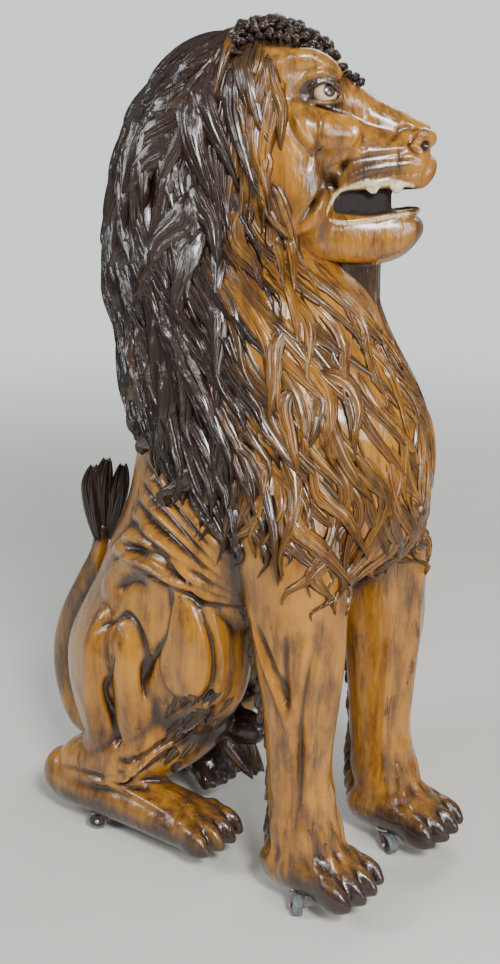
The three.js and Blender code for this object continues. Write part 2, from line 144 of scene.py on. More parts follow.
class Ball:
    """A sphere of rings, made once, that many forms are bent from."""

    def __init__(self, sides: int, rings: int) -> None:
        """Makes the sphere.

        Args:
            sides: Points round its axis.
            rings: Rings from pole to pole.
        """
        mesh = bmesh.new()
        bmesh.ops.create_uvsphere(mesh, u_segments=sides, v_segments=rings, radius=1)
        self.points = np.array([vert.co for vert in mesh.verts])
        self.faces = [[vert.index for vert in face.verts] for face in mesh.faces]
        mesh.free()
        self.along = np.arccos(np.clip(self.points[:, 2], -1, 1)) / math.pi
        self.turn = np.arctan2(self.points[:, 1], self.points[:, 0])


@lru_cache(maxsize=None)
def ball(sides: int, rings: int) -> Ball:
    """Gives the sphere with so many sides and rings."""
    return Ball(sides, rings)


class Heap:
    """Many loose forms gathered into one mesh, each point with its painted values."""

    def __init__(self) -> None:
        """Starts an empty heap."""
        self.points: list[np.ndarray] = []
        self.faces: list[list[int]] = []
        self.paints: dict[str, list[np.ndarray]] = {name: [] for name in PAINTS}
        self.count = 0

    def add(self, points: np.ndarray, faces: Sequence[Sequence[int]], **paints: object) -> None:
        """Adds a form.

        Args:
            points: Its points, in drawing millimetres.
            faces: Its faces, as numbers of its points.
            paints: A value, or one for each point, for each painted name.
        """
        self.points.append(points)
        self.faces += [[self.count + index for index in face] for face in faces]
        for name, values in self.paints.items():
            values.append(np.broadcast_to(np.asarray(paints.get(name, 0.0), dtype=float), (len(points),)))
        self.count += len(points)

    def mesh(self, name: str) -> bpy.types.Mesh:
        """Makes the mesh, still in drawing millimetres."""
        mesh = bpy.data.meshes.new(name)
        mesh.from_pydata(np.vstack(self.points).tolist(), [], self.faces)
        return mesh

    def piece(self, name: str) -> bpy.types.Object:
        """Makes a painted piece in the part's frame.

        Args:
            name: The piece's name.

        Returns:
            The piece.
        """
        self.points = [to_part(points) for points in self.points]
        mesh = self.mesh(name)
        for paint, values in self.paints.items():
            layer = mesh.attributes.new(paint, "FLOAT", "POINT")
            layer.data.foreach_set("value", np.concatenate(values).astype(np.float32))
        mesh.shade_smooth()
        piece = bpy.data.objects.new(name, mesh)
        bpy.context.scene.collection.objects.link(piece)
        return piece


class Clay:
    """Forms in drawing millimetres that are later fused into one skin."""

    def __init__(self, place: Matrix | None = None) -> None:
        """Starts an empty lump.

        Args:
            place: The frame that the forms are drawn in, or None for the drawing's own.
        """
        self.heap = Heap()
        self.place = np.array(place or Matrix())

    def add(self, points: np.ndarray, faces: Sequence[Sequence[int]]) -> None:
        """Adds points of the lump's own frame with their faces."""
        self.heap.add(points @ self.place[:3, :3].T + self.place[:3, 3], faces)

    def bent(self, stations: Sequence[Row], across: Row = (0, 1, 0), sides: int = 28, rings: int = 30,
             blunt: float = 5, level: bool = False) -> None:
        """Adds a rounded form whose oval sections follow the stations.

        Args:
            stations: Rows of x, y, z, half width along the across vector, half depth.
            across: The direction that the widths are measured along.
            sides: Points round a section.
            rings: Sections from end to end.
            blunt: How square the two ends are.
            level: Whether the sections lie level.
        """
        form = ball(sides, rings)
        along, turn = form.along, form.turn
        table = np.array(stations, dtype=float)
        values = smooth_rows(table, along)
        ahead = smooth_rows(table, np.clip(along + 0.01, 0, 1))[:, :3]
        behind = smooth_rows(table, np.clip(along - 0.01, 0, 1))[:, :3]
        tangent = np.tile([0.0, 0, -1], (len(along), 1)) if level else unit_rows(ahead - behind)
        side = np.tile(np.array(across, dtype=float), (len(along), 1))
        side = unit_rows(side - tangent * np.sum(side * tangent, axis=1, keepdims=True))
        deep = np.cross(side, tangent)
        cap = (1 - np.abs(2 * along - 1) ** blunt) ** (1 / blunt)
        points = values[:, :3] + side * (np.cos(turn) * values[:, 3] * cap)[:, None] \
            + deep * (np.sin(turn) * values[:, 4] * cap)[:, None]
        self.add(points, form.faces)

    def lump(self, centre: Row, size: Row, turn: Row = (0, 0, 0)) -> None:
        """Adds an ellipsoid.

        Args:
            centre: Its middle.
            size: Its half sizes.
            turn: Its turn about x, y and z, in degrees.
        """
        spin = Matrix.Rotation(math.radians(turn[2]), 4, "Z") @ Matrix.Rotation(math.radians(turn[1]), 4, "Y") \
            @ Matrix.Rotation(math.radians(turn[0]), 4, "X")
        form = ball(24, 16)
        turned = np.array(spin.to_3x3() @ Matrix.Diagonal(size))
        self.add(form.points @ turned.T + np.array(centre), form.faces)

    def block(self, low: Row, high: Row) -> None:
        """Adds a box between two corners."""
        mesh = bmesh.new()
        bmesh.ops.create_cube(mesh, size=1)
        points = np.array([vert.co for vert in mesh.verts]) + 0.5
        self.add(points * (np.array(high) - np.array(low)) + np.array(low),
                 [[vert.index for vert in face.verts] for face in mesh.faces])
        mesh.free()

    def fused(self, name: str, voxel: float) -> "Skin":
        """Fuses the forms into one skin.

        Args:
            name: The piece's name.
            voxel: The size of the remesh's cells, in millimetres.

        Returns:
            The skin, ready for relief.
        """
        mesh = self.heap.mesh(name)
        loose = bmesh.new()
        loose.from_mesh(mesh)
        bmesh.ops.recalc_face_normals(loose, faces=loose.faces)
        loose.to_mesh(mesh)
        loose.free()
        piece = bpy.data.objects.new(name, mesh)
        bpy.context.scene.collection.objects.link(piece)
        remesh = piece.modifiers.new("fuse", "REMESH")
        remesh.mode = "VOXEL"
        remesh.voxel_size = voxel
        remesh.use_smooth_shade = True
        apply_modifiers(piece)
        return Skin(piece, voxel)


def apply_modifiers(piece: bpy.types.Object) -> None:
    """Bakes a piece's modifiers into its mesh."""
    evaluated = piece.evaluated_get(bpy.context.evaluated_depsgraph_get())
    mesh = bpy.data.meshes.new_from_object(evaluated)
    piece.modifiers.clear()
    old = piece.data
    piece.data = mesh
    bpy.data.meshes.remove(old)


class Skin:
    """A fused surface whose points are pushed about, in drawing millimetres."""

    def __init__(self, piece: bpy.types.Object, cell: float) -> None:
        """Reads the piece's points and edges.

        Args:
            piece: The piece.
            cell: The size of its faces, in millimetres.
        """
        self.piece = piece
        self.finest = cell * FINEST_GROOVE
        mesh = piece.data
        self.points = np.empty(len(mesh.vertices) * 3)
        mesh.vertices.foreach_get("co", self.points)
        self.points = self.points.reshape(-1, 3)
        edges = np.empty(len(mesh.edges) * 2, dtype=np.int64)
        mesh.edges.foreach_get("vertices", edges)
        self.edges = edges.reshape(-1, 2)
        self.degree = np.maximum(np.bincount(edges, minlength=len(self.points)), 1)
        self.normals = self.read_normals()
        self.offset = np.zeros(len(self.points))
        self.tree = BVHTree()

    def read_normals(self) -> np.ndarray:
        """Writes the points back to the mesh and reads its normals."""
        mesh = self.piece.data
        mesh.vertices.foreach_set("co", self.points.ravel())
        mesh.update()
        normals = np.empty(len(mesh.vertices) * 3, dtype=np.float32)
        mesh.vertex_normals.foreach_get("vector", normals)
        return normals.reshape(-1, 3).astype(float)

    def around(self, values: np.ndarray) -> np.ndarray:
        """Averages a value over each point's neighbours.

        Args:
            values: One value for each point.

        Returns:
            The averages.
        """
        first, second = self.edges[:, 0], self.edges[:, 1]
        total = np.bincount(first, weights=values[second], minlength=len(values)) \
            + np.bincount(second, weights=values[first], minlength=len(values))
        return total / self.degree

    def clay(self) -> Clay:
        """Turns the skin back into a lump that more forms can be added to.

        Returns:
            The lump, in the drawing's own frame.
        """
        corners = np.empty(len(self.piece.data.loops), dtype=np.int64)
        self.piece.data.loops.foreach_get("vertex_index", corners)
        lump = Clay()
        lump.add(self.points, corners.reshape(-1, 4).tolist())
        bpy.data.objects.remove(self.piece)
        return lump

    def smooth(self, times: int, amount: float = 0.5) -> None:
        """Relaxes the surface.

        Args:
            times: How often.
            amount: Share of the way to the neighbours' middle each time.
        """
        for _ in range(times):
            middle = np.column_stack([self.around(self.points[:, axis]) for axis in range(3)])
            self.points += (middle - self.points) * amount
        self.normals = self.read_normals()

    def distance(self, path: np.ndarray, reach: float) -> tuple[np.ndarray, np.ndarray, np.ndarray]:
        """Measures how far points lie from a polyline.

        Args:
            path: The polyline's points.
            reach: Points further than this are left out.

        Returns:
            Indices of the near points, their distances, and their shares of the way along.
        """
        low, high = path.min(axis=0) - reach, path.max(axis=0) + reach
        near = np.nonzero(np.all((self.points > low) & (self.points < high), axis=1))[0]
        best = np.full(len(near), np.inf)
        share = np.zeros(len(near))
        spots = self.points[near]
        for index in range(len(path) - 1):
            start, step = path[index], path[index + 1] - path[index]
            along = np.clip((spots - start) @ step / max(step @ step, 1e-9), 0, 1)
            gap = np.linalg.norm(spots - start - along[:, None] * step, axis=1)
            closer = gap < best
            best[closer] = gap[closer]
            share[closer] = (index + along[closer]) / (len(path) - 1)
        kept = best < reach
        return near[kept], best[kept], share[kept]

    def ridge(self, path: Sequence[Row], width: float, height: float, fade: float = 0.25) -> None:
        """Raises a rounded ridge along a path, or sinks a groove with a negative height.

        Args:
            path: Three or more points near the skin.
            width: Half its width.
            height: Its height above the skin.
            fade: Share of its length over which each end dies away.
        """
        width = max(width, self.finest)
        curve = smooth_rows(np.array(path, dtype=float), np.linspace(0, 1, 6 * len(path)))
        curve = np.array([self.tree.find_nearest(Vector(spot))[0] for spot in curve])
        for _ in range(4):
            curve[1:-1] = 0.5 * curve[1:-1] + 0.25 * (curve[:-2] + curve[2:])
        near, gap, share = self.distance(curve, width)
        ends = np.clip(np.minimum(share, 1 - share) / fade, 0, 1)
        self.offset[near] += height * (0.5 + 0.5 * np.cos(math.pi * gap / width)) * ends ** 0.7

    def swell(self, centre: Row, size: float, height: float) -> None:
        """Raises or sinks a round patch."""
        gap = np.linalg.norm(self.points - np.array(centre, dtype=float), axis=1)
        self.offset += np.where(gap < size, height * (0.5 + 0.5 * np.cos(math.pi * np.minimum(gap / size, 1))), 0)

    def ready(self) -> None:
        """Makes the search tree that ridges are laid on with."""
        self.tree = under_tree(self)

    def settle(self) -> None:
        """Moves the points by the relief gathered so far."""
        self.points += self.normals * self.offset[:, None]
        self.offset[:] = 0
        self.normals = self.read_normals()

    def hollows(self, spread: int, gain: float, reach: int = 1) -> np.ndarray:
        """Finds the hollows of the surface.

        Args:
            spread: How many times the measure is blurred.
            gain: How strongly a hollow counts.
            reach: How wide a hollow is looked for.

        Returns:
            A value for each point, from -1 on ridges to 1 in deep creases.
        """
        middle = self.points
        for _ in range(reach):
            middle = np.column_stack([self.around(middle[:, axis]) for axis in range(3)])
        bend = np.sum((middle - self.points) * self.normals, axis=1)
        for _ in range(spread):
            bend = 0.5 * bend + 0.5 * self.around(bend)
        return np.clip(bend * gain, -1, 1)

    def sawn(self, height: float) -> None:
        """Cuts the underside off level at a height."""
        self.points[:, 2] = np.maximum(self.points[:, 2], height)

    def paint(self, name: str, values: np.ndarray) -> None:
        """Stores a value for each point as an attribute."""
        layer = self.piece.data.attributes.new(name, "FLOAT", "POINT")
        layer.data.foreach_set("value", values.astype(np.float32))

    def finish(self) -> bpy.types.Object:
        """Turns the skin into a piece in the part's frame.

        Returns:
            The piece.
        """
        mesh = self.piece.data
        mesh.vertices.foreach_set("co", to_part(self.points).ravel())
        mesh.update()
        triangles = 2 * len(mesh.polygons)
        if triangles > MOST_TRIANGLES:
            thin = self.piece.modifiers.new("thin", "DECIMATE")
            thin.ratio = MOST_TRIANGLES / triangles
            apply_modifiers(self.piece)
        self.piece.data.shade_smooth()
        return self.piece


# Finishes


class Value:
    """A number in a material that takes Python's own arithmetic."""

    def __init__(self, book: "NodeBook", socket: bpy.types.NodeSocket | float) -> None:
        """Wraps a socket or a number."""
        self.book = book
        self.socket = socket

    def _maths(self, operation: str, first: object, second: object) -> "Value":
        """Adds one Math node."""
        node = self.book.node("ShaderNodeMath", {"operation": operation}, {0: first, 1: second})
        return Value(self.book, node.outputs[0])

    def __add__(self, other: object) -> "Value":
        """Sum."""
        return self._maths("ADD", self, other)

    def __sub__(self, other: object) -> "Value":
        """Difference."""
        return self._maths("SUBTRACT", self, other)

    def __rsub__(self, other: object) -> "Value":
        """Difference from a number."""
        return self._maths("SUBTRACT", other, self)

    def __mul__(self, other: object) -> "Value":
        """Product."""
        return self._maths("MULTIPLY", self, other)

    def clipped(self) -> "Value":
        """Keeps the value between 0 and 1."""
        node = self.book.node("ShaderNodeClamp", {}, {"Value": self})
        return Value(self.book, node.outputs[0])

    def wave(self) -> "Value":
        """Sine of the value."""
        return self._maths("SINE", self, 0.0)

    def between(self, low: float, high: float) -> "Value":
        """Maps low to 0 and high to 1 with soft ends.

        Args:
            low: The value that becomes 0.
            high: The value that becomes 1.

        Returns:
            The mapped value.
        """
        node = self.book.node("ShaderNodeMapRange", {"interpolation_type": "SMOOTHSTEP"},
                              {"Value": self, "From Min": low, "From Max": high})
        return Value(self.book, node.outputs[0])


class NodeBook:
    """One material and its nodes."""

    def __init__(self, name: str) -> None:
        """Starts a material with nothing but its output and a principled shader."""
        self.material = bpy.data.materials.new(name)
        self.material.use_nodes = True
        self.tree = self.material.node_tree
        self.tree.nodes.clear()
        output = self.tree.nodes.new("ShaderNodeOutputMaterial")
        self.shader = self.tree.nodes.new("ShaderNodeBsdfPrincipled")
        self.tree.links.new(self.shader.outputs[0], output.inputs[0])

    def node(self, kind: str, settings: dict[str, object], inputs: dict[object, object]) -> bpy.types.Node:
        """Adds a node.

        Args:
            kind: The node's type.
            settings: Properties set first.
            inputs: Values or links for its sockets, by name or number.

        Returns:
            The node.
        """
        node = self.tree.nodes.new(kind)
        for key, value in settings.items():
            setattr(node, key, value)
        for key, value in inputs.items():
            self.feed(node.inputs[key], value)
        return node

    def feed(self, socket: bpy.types.NodeSocket, value: object) -> None:
        """Sets or links one socket."""
        if isinstance(value, Value):
            value = value.socket
        if isinstance(value, bpy.types.NodeSocket):
            self.tree.links.new(value, socket)
        elif isinstance(value, tuple) and len(value) == 3 and len(socket.default_value) == 4:
            socket.default_value = (*value, 1)
        else:
            socket.default_value = value

    def place(self) -> bpy.types.NodeSocket:
        """Gives the Object coordinates."""
        return self.node("ShaderNodeTexCoord", {}, {}).outputs["Object"]

    def attribute(self, name: str) -> Value:
        """Reads one of the piece's attributes."""
        node = self.node("ShaderNodeAttribute", {"attribute_name": name}, {})
        return Value(self, node.outputs["Fac"])

    def noise(self, stretch: Row, scale: float, detail: float = 4, rough: float = 0.55) -> Value:
        """Adds a noise stretched along the object's axes.

        Args:
            stretch: Factors on x, y and z.
            scale: Noise cells in a metre.
            detail: Octaves.
            rough: How strong the fine octaves are.

        Returns:
            The noise value.
        """
        mapping = self.node("ShaderNodeMapping", {}, {"Vector": self.place(), "Scale": tuple(stretch)})
        node = self.node("ShaderNodeTexNoise", {}, {"Vector": mapping.outputs[0], "Scale": scale,
                                                    "Detail": detail, "Roughness": rough})
        return Value(self, node.outputs[0])

    def mix(self, share: object, first: object, second: object) -> bpy.types.NodeSocket:
        """Blends two colours.

        Args:
            share: How much of the second.
            first: A colour or a socket.
            second: A colour or a socket.

        Returns:
            The blended colour's socket.
        """
        node = self.node("ShaderNodeMix", {"data_type": "RGBA"}, {0: share, 6: first, 7: second})
        return node.outputs[2]

    def bump(self, *layers: tuple[Value, float]) -> None:
        """Feeds the shader's normal with bumps.

        Args:
            layers: A height value and its depth in metres for each layer.
        """
        normal = None
        for height, depth in layers:
            inputs: dict[object, object] = {"Height": height, "Distance": depth, "Strength": 1.0}
            if normal is not None:
                inputs["Normal"] = normal
            normal = self.node("ShaderNodeBump", {}, inputs).outputs[0]
        self.feed(self.shader.inputs["Normal"], normal)

    def set(self, **sockets: object) -> None:
        """Sets the shader's own sockets; an underscore in a name stands for a space."""
        for key, value in sockets.items():
            self.feed(self.shader.inputs[key.replace("_", " ")], value)


@dataclass(frozen=True)
class VarnishedWood:
    """Old carved wood under a thick glossy varnish, nearly black where stain and dirt have gathered, with painted
    shade in its creases, hollows and mouth.
    """

    name: str = "varnished_wood"
    honey: tuple[float, float, float] = (0.41, 0.172, 0.016)
    amber: tuple[float, float, float] = (0.16, 0.056, 0.006)
    smoke: tuple[float, float, float] = (0.075, 0.034, 0.010)
    # the dark stain, also used for painted shade under the belly, in the leg's crease and between the mane's
    # locks
    walnut_stain_and_shade: tuple[float, float, float] = (0.028, 0.015, 0.010)
    # crease: the colour of the painted shade in creases and hollows, and of the varnish's cracks
    crease: tuple[float, float, float] = (0.024, 0.009, 0.004)
    worn: tuple[float, float, float] = (0.62, 0.52, 0.33)
    # painted shade inside the open mouth
    mouth: tuple[float, float, float] = (0.010, 0.005, 0.004)
    tooled: float = 0.008
    strands: bool = False

    def build(self) -> bpy.types.Material:
        """Makes the material.

        Returns:
            The material.
        """
        book = NodeBook(self.name)
        grain = book.noise((1, 1, 0.09), 55, 6, 0.65)
        clouds = book.noise((1, 1, 0.6), 9, 4)
        stains = book.noise((1, 1, 0.45), 24, 5, 0.65)
        fine = book.noise((1, 1, 0.12), 260, 4, 0.7)
        patches = book.noise((1, 1, 0.7), 5.5, 5, 0.6)
        tone = (clouds * 0.9 + grain * 0.7 + stains * 0.5 - 0.55).between(0.28, 0.80)
        colour = book.mix(tone, self.honey, self.amber)
        smoky = (stains * 0.6 + patches * 0.6 + grain * 0.3 - 0.25).between(0.46, 0.72)
        colour = book.mix(smoky, colour, self.smoke)
        hollow = book.attribute("hollow")
        dark = book.attribute("dark")
        if self.strands:
            colour = book.mix(book.attribute("tint"), colour, self.smoke)
        # the dark attribute carries stain and painted shade
        colour = book.mix((dark + grain * 0.5 + stains * 0.4 - 0.45).between(0.0, 0.85), colour, self.walnut_stain_and_shade)
        # painted shade: creases and hollows darkened towards the crease colour
        colour = book.mix((hollow * 1.6).clipped(), colour, self.crease)
        split = book.noise((1, 1, 0.05), 26, 2) - 0.5
        cracks = (1 - (split * split).between(0.0, 0.00006)) * (stains - 0.1).between(0.40, 0.55)
        colour = book.mix(cracks * 0.8, colour, self.crease)
        worn = book.attribute("worn")
        colour = book.mix((worn + fine * 0.6 + stains * 0.5 - 0.55).between(0.2, 0.6), colour, self.worn)
        # painted shade: the open mouth's inside, near black, matte and without coat
        mouth = book.attribute("mouth")
        colour = book.mix(mouth, colour, self.mouth)
        book.set(Base_Color=colour, Roughness=grain * 0.2 + worn * 0.3 + mouth * 0.6 + 0.13,
                 Specular_IOR_Level=0.5, Coat_Weight=0.4 - worn * 0.3 - mouth * 0.4, Coat_Roughness=0.12,
                 Coat_IOR=1.5)
        layers = [(grain, 0.0014), (fine, 0.0006), (book.noise((1, 1, 0.45), 26, 3), self.tooled),
                  (1 - cracks, 0.002)]
        if self.strands:
            across = book.attribute("across")
            sway = book.noise((1, 1, 0.4), 22, 2)
            layers.append(((across * 9.0 + sway * 9.0).wave(), 0.0016))
            layers.append(((across * 23.0 + sway * 20.0).wave(), 0.0005))
        book.bump(*layers)
        return book.material


@dataclass(frozen=True)
class PlainFinish:
    """A finish of one colour with a little unevenness."""

    name: str
    colour: tuple[float, float, float]
    second: tuple[float, float, float]
    roughness: float
    metallic: float = 0.0
    depth: float = 0.0002

    def build(self) -> bpy.types.Material:
        """Makes the material.

        Returns:
            The material.
        """
        book = NodeBook(self.name)
        patches = book.noise((1, 1, 1), 90, 4)
        specks = book.noise((1, 1, 1), 600, 3)
        colour = book.mix((patches + specks * 0.4 - 0.2).between(0.35, 0.75), self.colour, self.second)
        book.set(Base_Color=colour, Roughness=patches * 0.25 + (self.roughness - 0.12), Metallic=self.metallic)
        book.bump((specks, self.depth))
        return book.material


@dataclass(frozen=True)
class PaintedEye:
    """A cream eyeball with a dark ringed iris, read from the piece's own gaze attribute."""

    name: str = "painted_eye"
    white: tuple[float, float, float] = (0.66, 0.52, 0.30)
    iris: tuple[float, float, float] = (0.10, 0.055, 0.035)
    pupil: tuple[float, float, float] = (0.012, 0.009, 0.010)

    def build(self) -> bpy.types.Material:
        """Makes the material.

        Returns:
            The material.
        """
        book = NodeBook(self.name)
        gaze = book.attribute("gaze")
        dirt = book.noise((1, 1, 1), 160, 4)
        colour = book.mix((dirt - 0.1).between(0.4, 0.75), self.white, self.iris)
        colour = book.mix(gaze.between(0.60, 0.52), colour, self.iris)
        colour = book.mix(gaze.between(0.50, 0.45), colour, self.pupil)
        colour = book.mix(gaze.between(0.38, 0.33), colour, self.iris)
        colour = book.mix(gaze.between(0.22, 0.18), colour, self.pupil)
        book.set(Base_Color=colour, Roughness=0.3, Coat_Weight=0.6, Coat_Roughness=0.1)
        book.bump((dirt, 0.0004))
        return book.material


# The trunk, which the mane is laid on


@dataclass
class Trunk:
    """Level oval sections from the rump up to the crown: x, y, z, half width, half depth."""

    stations: tuple[Row, ...] = (
        (-500, 0, 75, 70, 90), (-490, 0, 130, 115, 140), (-472, 0, 200, 135, 180), (-452, 0, 280, 155, 206),
        (-420, 0, 360, 170, 222), (-365, 0, 440, 180, 232), (-300, 0, 516, 190, 250), (-235, 0, 596, 195, 278),
        (-172, 0, 675, 198, 302), (-150, 0, 752, 200, 300), (-145, 0, 847, 200, 286), (-155, 0, 903, 200, 290),
        (-196, 0, 1013, 192, 260), (-232, 0, 1102, 186, 254), (-280, 0, 1199, 176, 192),
        (-283, 0, 1310, 165, 163), (-268, 0, 1410, 140, 138), (-235, 0, 1491, 96, 96), (-205, 0, 1530, 44, 50))

    def middle(self, height: float) -> list[float]:
        """Finds a section by its height.

        Args:
            height: Height in millimetres.

        Returns:
            The row of that section.
        """
        upper = next((i for i in range(1, len(self.stations)) if self.stations[i][2] >= height), -1)
        low, high = self.stations[upper - 1], self.stations[upper]
        share = min(max((height - low[2]) / (high[2] - low[2]), 0), 1)
        return [start + (end - start) * share for start, end in zip(low, high)]


HEAD_TURN = math.radians(28)
HEAD_FRAME = Matrix.Translation((-118, 32, 1430)) @ Matrix.Rotation(HEAD_TURN, 4, "Z")
FROM_DRAWING = HEAD_FRAME.inverted()


@dataclass
class Body:
    """Trunk, legs and tail of the carving."""

    trunk: Trunk = field(default_factory=Trunk)
    voxel: float = 3.8
    foreleg_spread: float = 138
    far_reach: float = 16
    foreleg: tuple[Row, ...] = (
        (-60, 840, 80, 115), (-25, 700, 86, 108), (-8, 590, 78, 98), (0, 480, 71, 88), (5, 390, 62, 73),
        (3, 283, 57, 62), (8, 210, 58, 62), (20, 140, 64, 74), (25, 80, 60, 70))
    forepaw: tuple[Row, ...] = (
        (-62, 95, 40, 40), (-30, 80, 60, 55), (40, 78, 66, 58), (92, 72, 66, 44), (130, 60, 54, 28))
    near_foot: tuple[Row, ...] = (
        (-596, -152, 74, 40, 40), (-560, -152, 72, 56, 56), (-500, -148, 70, 62, 54), (-400, -144, 70, 64, 54),
        (-300, -144, 68, 66, 52), (-230, -144, 64, 68, 46), (-184, -144, 58, 62, 34))
    far_foot: tuple[Row, ...] = (
        (-630, 158, 85, 30, 30), (-590, 148, 82, 55, 50), (-500, 118, 78, 60, 45), (-420, 92, 76, 60, 42),
        (-350, 62, 76, 56, 40), (-325, 52, 65, 46, 30))
    tail: tuple[Row, ...] = (
        (-590, 0, 105, 40, 45), (-664, 0, 125, 36, 42), (-697, 0, 200, 32, 42), (-700, 0, 280, 30, 40),
        (-676, 0, 360, 28, 36), (-636, 0, 440, 25, 30), (-600, 0, 520, 20, 22), (-588, 0, 590, 24, 26))
    tuft: tuple[tuple[Row, ...], ...] = (
        ((-592, -10, 540, 10, 10), (-602, -15, 605, 14, 14), (-604, -18, 664, 14, 14), (-592, -18, 708, 8, 8)),
        ((-590, 4, 545, 10, 10), (-588, 2, 620, 14, 14), (-582, 0, 682, 14, 14), (-572, 0, 722, 8, 8)),
        ((-590, 10, 535, 10, 10), (-568, 14, 606, 14, 14), (-552, 16, 666, 14, 14), (-540, 14, 712, 8, 8)))

    carved_lines: tuple[tuple[tuple[Row, ...], float, float], ...] = (
        # hip: two folds arching over the haunch, with the hollow between them
        (((-446, 150, 500), (-398, 170, 578), (-319, 191, 612), (-249, 200, 604), (-212, 200, 560)), 30, 19),
        (((-474, 121, 548), (-388, 157, 622), (-316, 181, 656), (-255, 196, 654), (-200, 200, 620),
          (-150, 197, 545)), 27, 15),
        (((-440, 150, 540), (-370, 175, 606), (-300, 190, 632), (-235, 200, 626), (-186, 200, 580)), 10, -9),
        (((-400, 165, 520), (-350, 185, 560), (-300, 200, 565)), 22, -8),
        # round the thigh
        (((-196, 200, 580), (-142, 204, 500), (-138, 200, 420), (-180, 200, 345), (-240, 200, 312)), 15, -15),
        (((-246, 205, 570), (-262, 210, 480), (-302, 205, 400), (-298, 205, 330)), 14, -13),
        (((-250, 210, 470), (-262, 210, 400), (-236, 210, 350)), 18, 6),
        (((-200, 210, 520), (-190, 214, 440), (-214, 214, 370)), 16, 6),
        # shank
        (((-428, 216, 440), (-404, 211, 478), (-366, 204, 494), (-330, 207, 476), (-308, 210, 425),
          (-308, 207, 360), (-290, 201, 312)), 12, -10),
        (((-366, 207, 430), (-398, 215, 342), (-396, 190, 250), (-390, 198, 196)), 11, -12),
        (((-480, 150, 420), (-462, 200, 360), (-462, 200, 260), (-480, 190, 180)), 12, -7),
        # under the haunch, where the fur begins
        (((-400, 190, 176), (-330, 190, 196), (-280, 180, 240), (-230, 170, 262)), 15, -12),
        (((-540, 190, 120), (-480, 200, 128), (-400, 190, 130)), 10, -6),
        # tendons of the hind foot
        (((-500, 200, 112), (-361, 190, 116), (-240, 190, 92)), 11, 5),
        (((-480, 160, 130), (-340, 150, 118), (-225, 150, 104)), 11, 5),
        # foreleg: the V of muscles above, the glossy middle ridge and the tendons below
        (((-66, 197, 575), (-28, 206, 493), (8, 202, 407), (26, 198, 340), (30, 191, 227)), 13, 9),
        (((-44, 200, 560), (-4, 206, 480), (24, 202, 400)), 10, -8),
        (((54, 195, 548), (40, 199, 454), (28, 198, 372)), 14, 7),
        (((20, 205, 560), (16, 206, 480), (20, 200, 410)), 15, -9),
        (((74, 180, 520), (61, 188, 436), (52, 180, 326), (56, 180, 202)), 12, 9),
        (((44, 190, 400), (40, 190, 310), (42, 190, 200)), 10, -6),
        (((86, 126, 540), (78, 140, 420), (68, 140, 300), (72, 150, 190)), 13, 6),
        (((66, 80, 500), (54, 80, 380), (50, 80, 250), (56, 84, 160)), 12, 6),
        (((56, 180, 202), (84, 165, 140), (112, 170, 108)), 10, 6),
        (((58, 160, 200), (92, 140, 132), (122, 134, 108)), 10, 6),
        (((40, 190, 190), (64, 192, 130), (96, 196, 98)), 10, 6),
        (((60, 110, 190), (90, 100, 130), (112, 98, 104)), 10, 6),
        (((-30, 190, 170), (-20, 196, 120), (-24, 196, 66)), 11, 6),
        (((0, 196, 180), (10, 200, 120), (8, 200, 66)), 11, 6))

    def toes(self, clay: Clay, front: float, y: float, height: float, width: float, size: Row,
             heading: float = 0) -> None:
        """Adds four knuckled toes side by side.

        Args:
            clay: The lump that receives them.
            front: How far forward the toes' middle lies.
            y: The paw's middle line.
            height: Height of the toes' middle.
            width: The paw's width.
            size: Half length and half height of a toe.
            heading: How far the foot is turned, in degrees.
        """
        pitch = width / 4
        long, high = size
        for index in range(4):
            aside = (index - 1.5) * pitch
            back = abs(aside) * 0.26
            angle = aside / width * 26 + heading
            clay.lump((front - back, y + aside, height - 3), (long, pitch * 0.56, high), (0, 8, angle))
            clay.lump((front - back - long * 0.45, y + aside * 0.95, height + high * 0.42),
                      (long * 0.5, pitch * 0.5, high * 0.75), (0, 0, angle))
            clay.lump((front - back + long * 0.78, y + aside * 1.04, height - high * 0.3),
                      (long * 0.34, pitch * 0.3, high * 0.42), (0, 25, angle))

    def fore(self, clay: Clay, side: Side) -> None:
        """Adds one foreleg with its paw."""
        y = side.value * self.foreleg_spread
        reach = self.far_reach if side is Side.FAR else 0
        clay.bent([(x, y, z, wide, deep) for x, z, wide, deep in self.foreleg], level=True, sides=36, rings=44)
        clay.bent([(x + reach, y, z, wide, high) for x, z, wide, high in self.forepaw], rings=24)
        clay.lump((18, y, 205), (60, 58, 40))

    def all_toes(self, clay: Clay, side: Side) -> None:
        """Adds the toes of one forepaw and one hind foot."""
        reach = self.far_reach if side is Side.FAR else 0
        self.toes(clay, 118 + reach, side.value * self.foreleg_spread, 68, 140, (48, 34))
        if side is Side.NEAR:
            self.toes(clay, -196, -143, 64, 132, (46, 34))
        else:
            self.toes(clay, -334, 56, 68, 108, (40, 28), -28)

    def hind(self, clay: Clay, side: Side) -> None:
        """Adds one haunch with its shank and foot."""
        s = side.value
        clay.lump((-305, s * 116, 442), (180, 80, 206), (0, -6, 0))
        clay.lump((-285, s * 146, 570), (100, 48, 66), (0, 28, 0))
        clay.bent([(-310, s * 116, 285, 66, 52), (-350, s * 126, 210, 70, 60), (-420, s * 138, 160, 66, 62),
                   (-500, s * 146, 130, 58, 56), (-570, s * 150, 100, 46, 46)])
        clay.lump((-370, s * 120, 300), (80, 60, 120))
        if side is Side.NEAR:
            clay.bent([(-232, -74, 320, 62, 44), (-262, -84, 262, 70, 54), (-320, -100, 200, 78, 56),
                       (-400, -116, 150, 70, 50)])
        clay.bent(self.near_foot if side is Side.NEAR else self.far_foot)

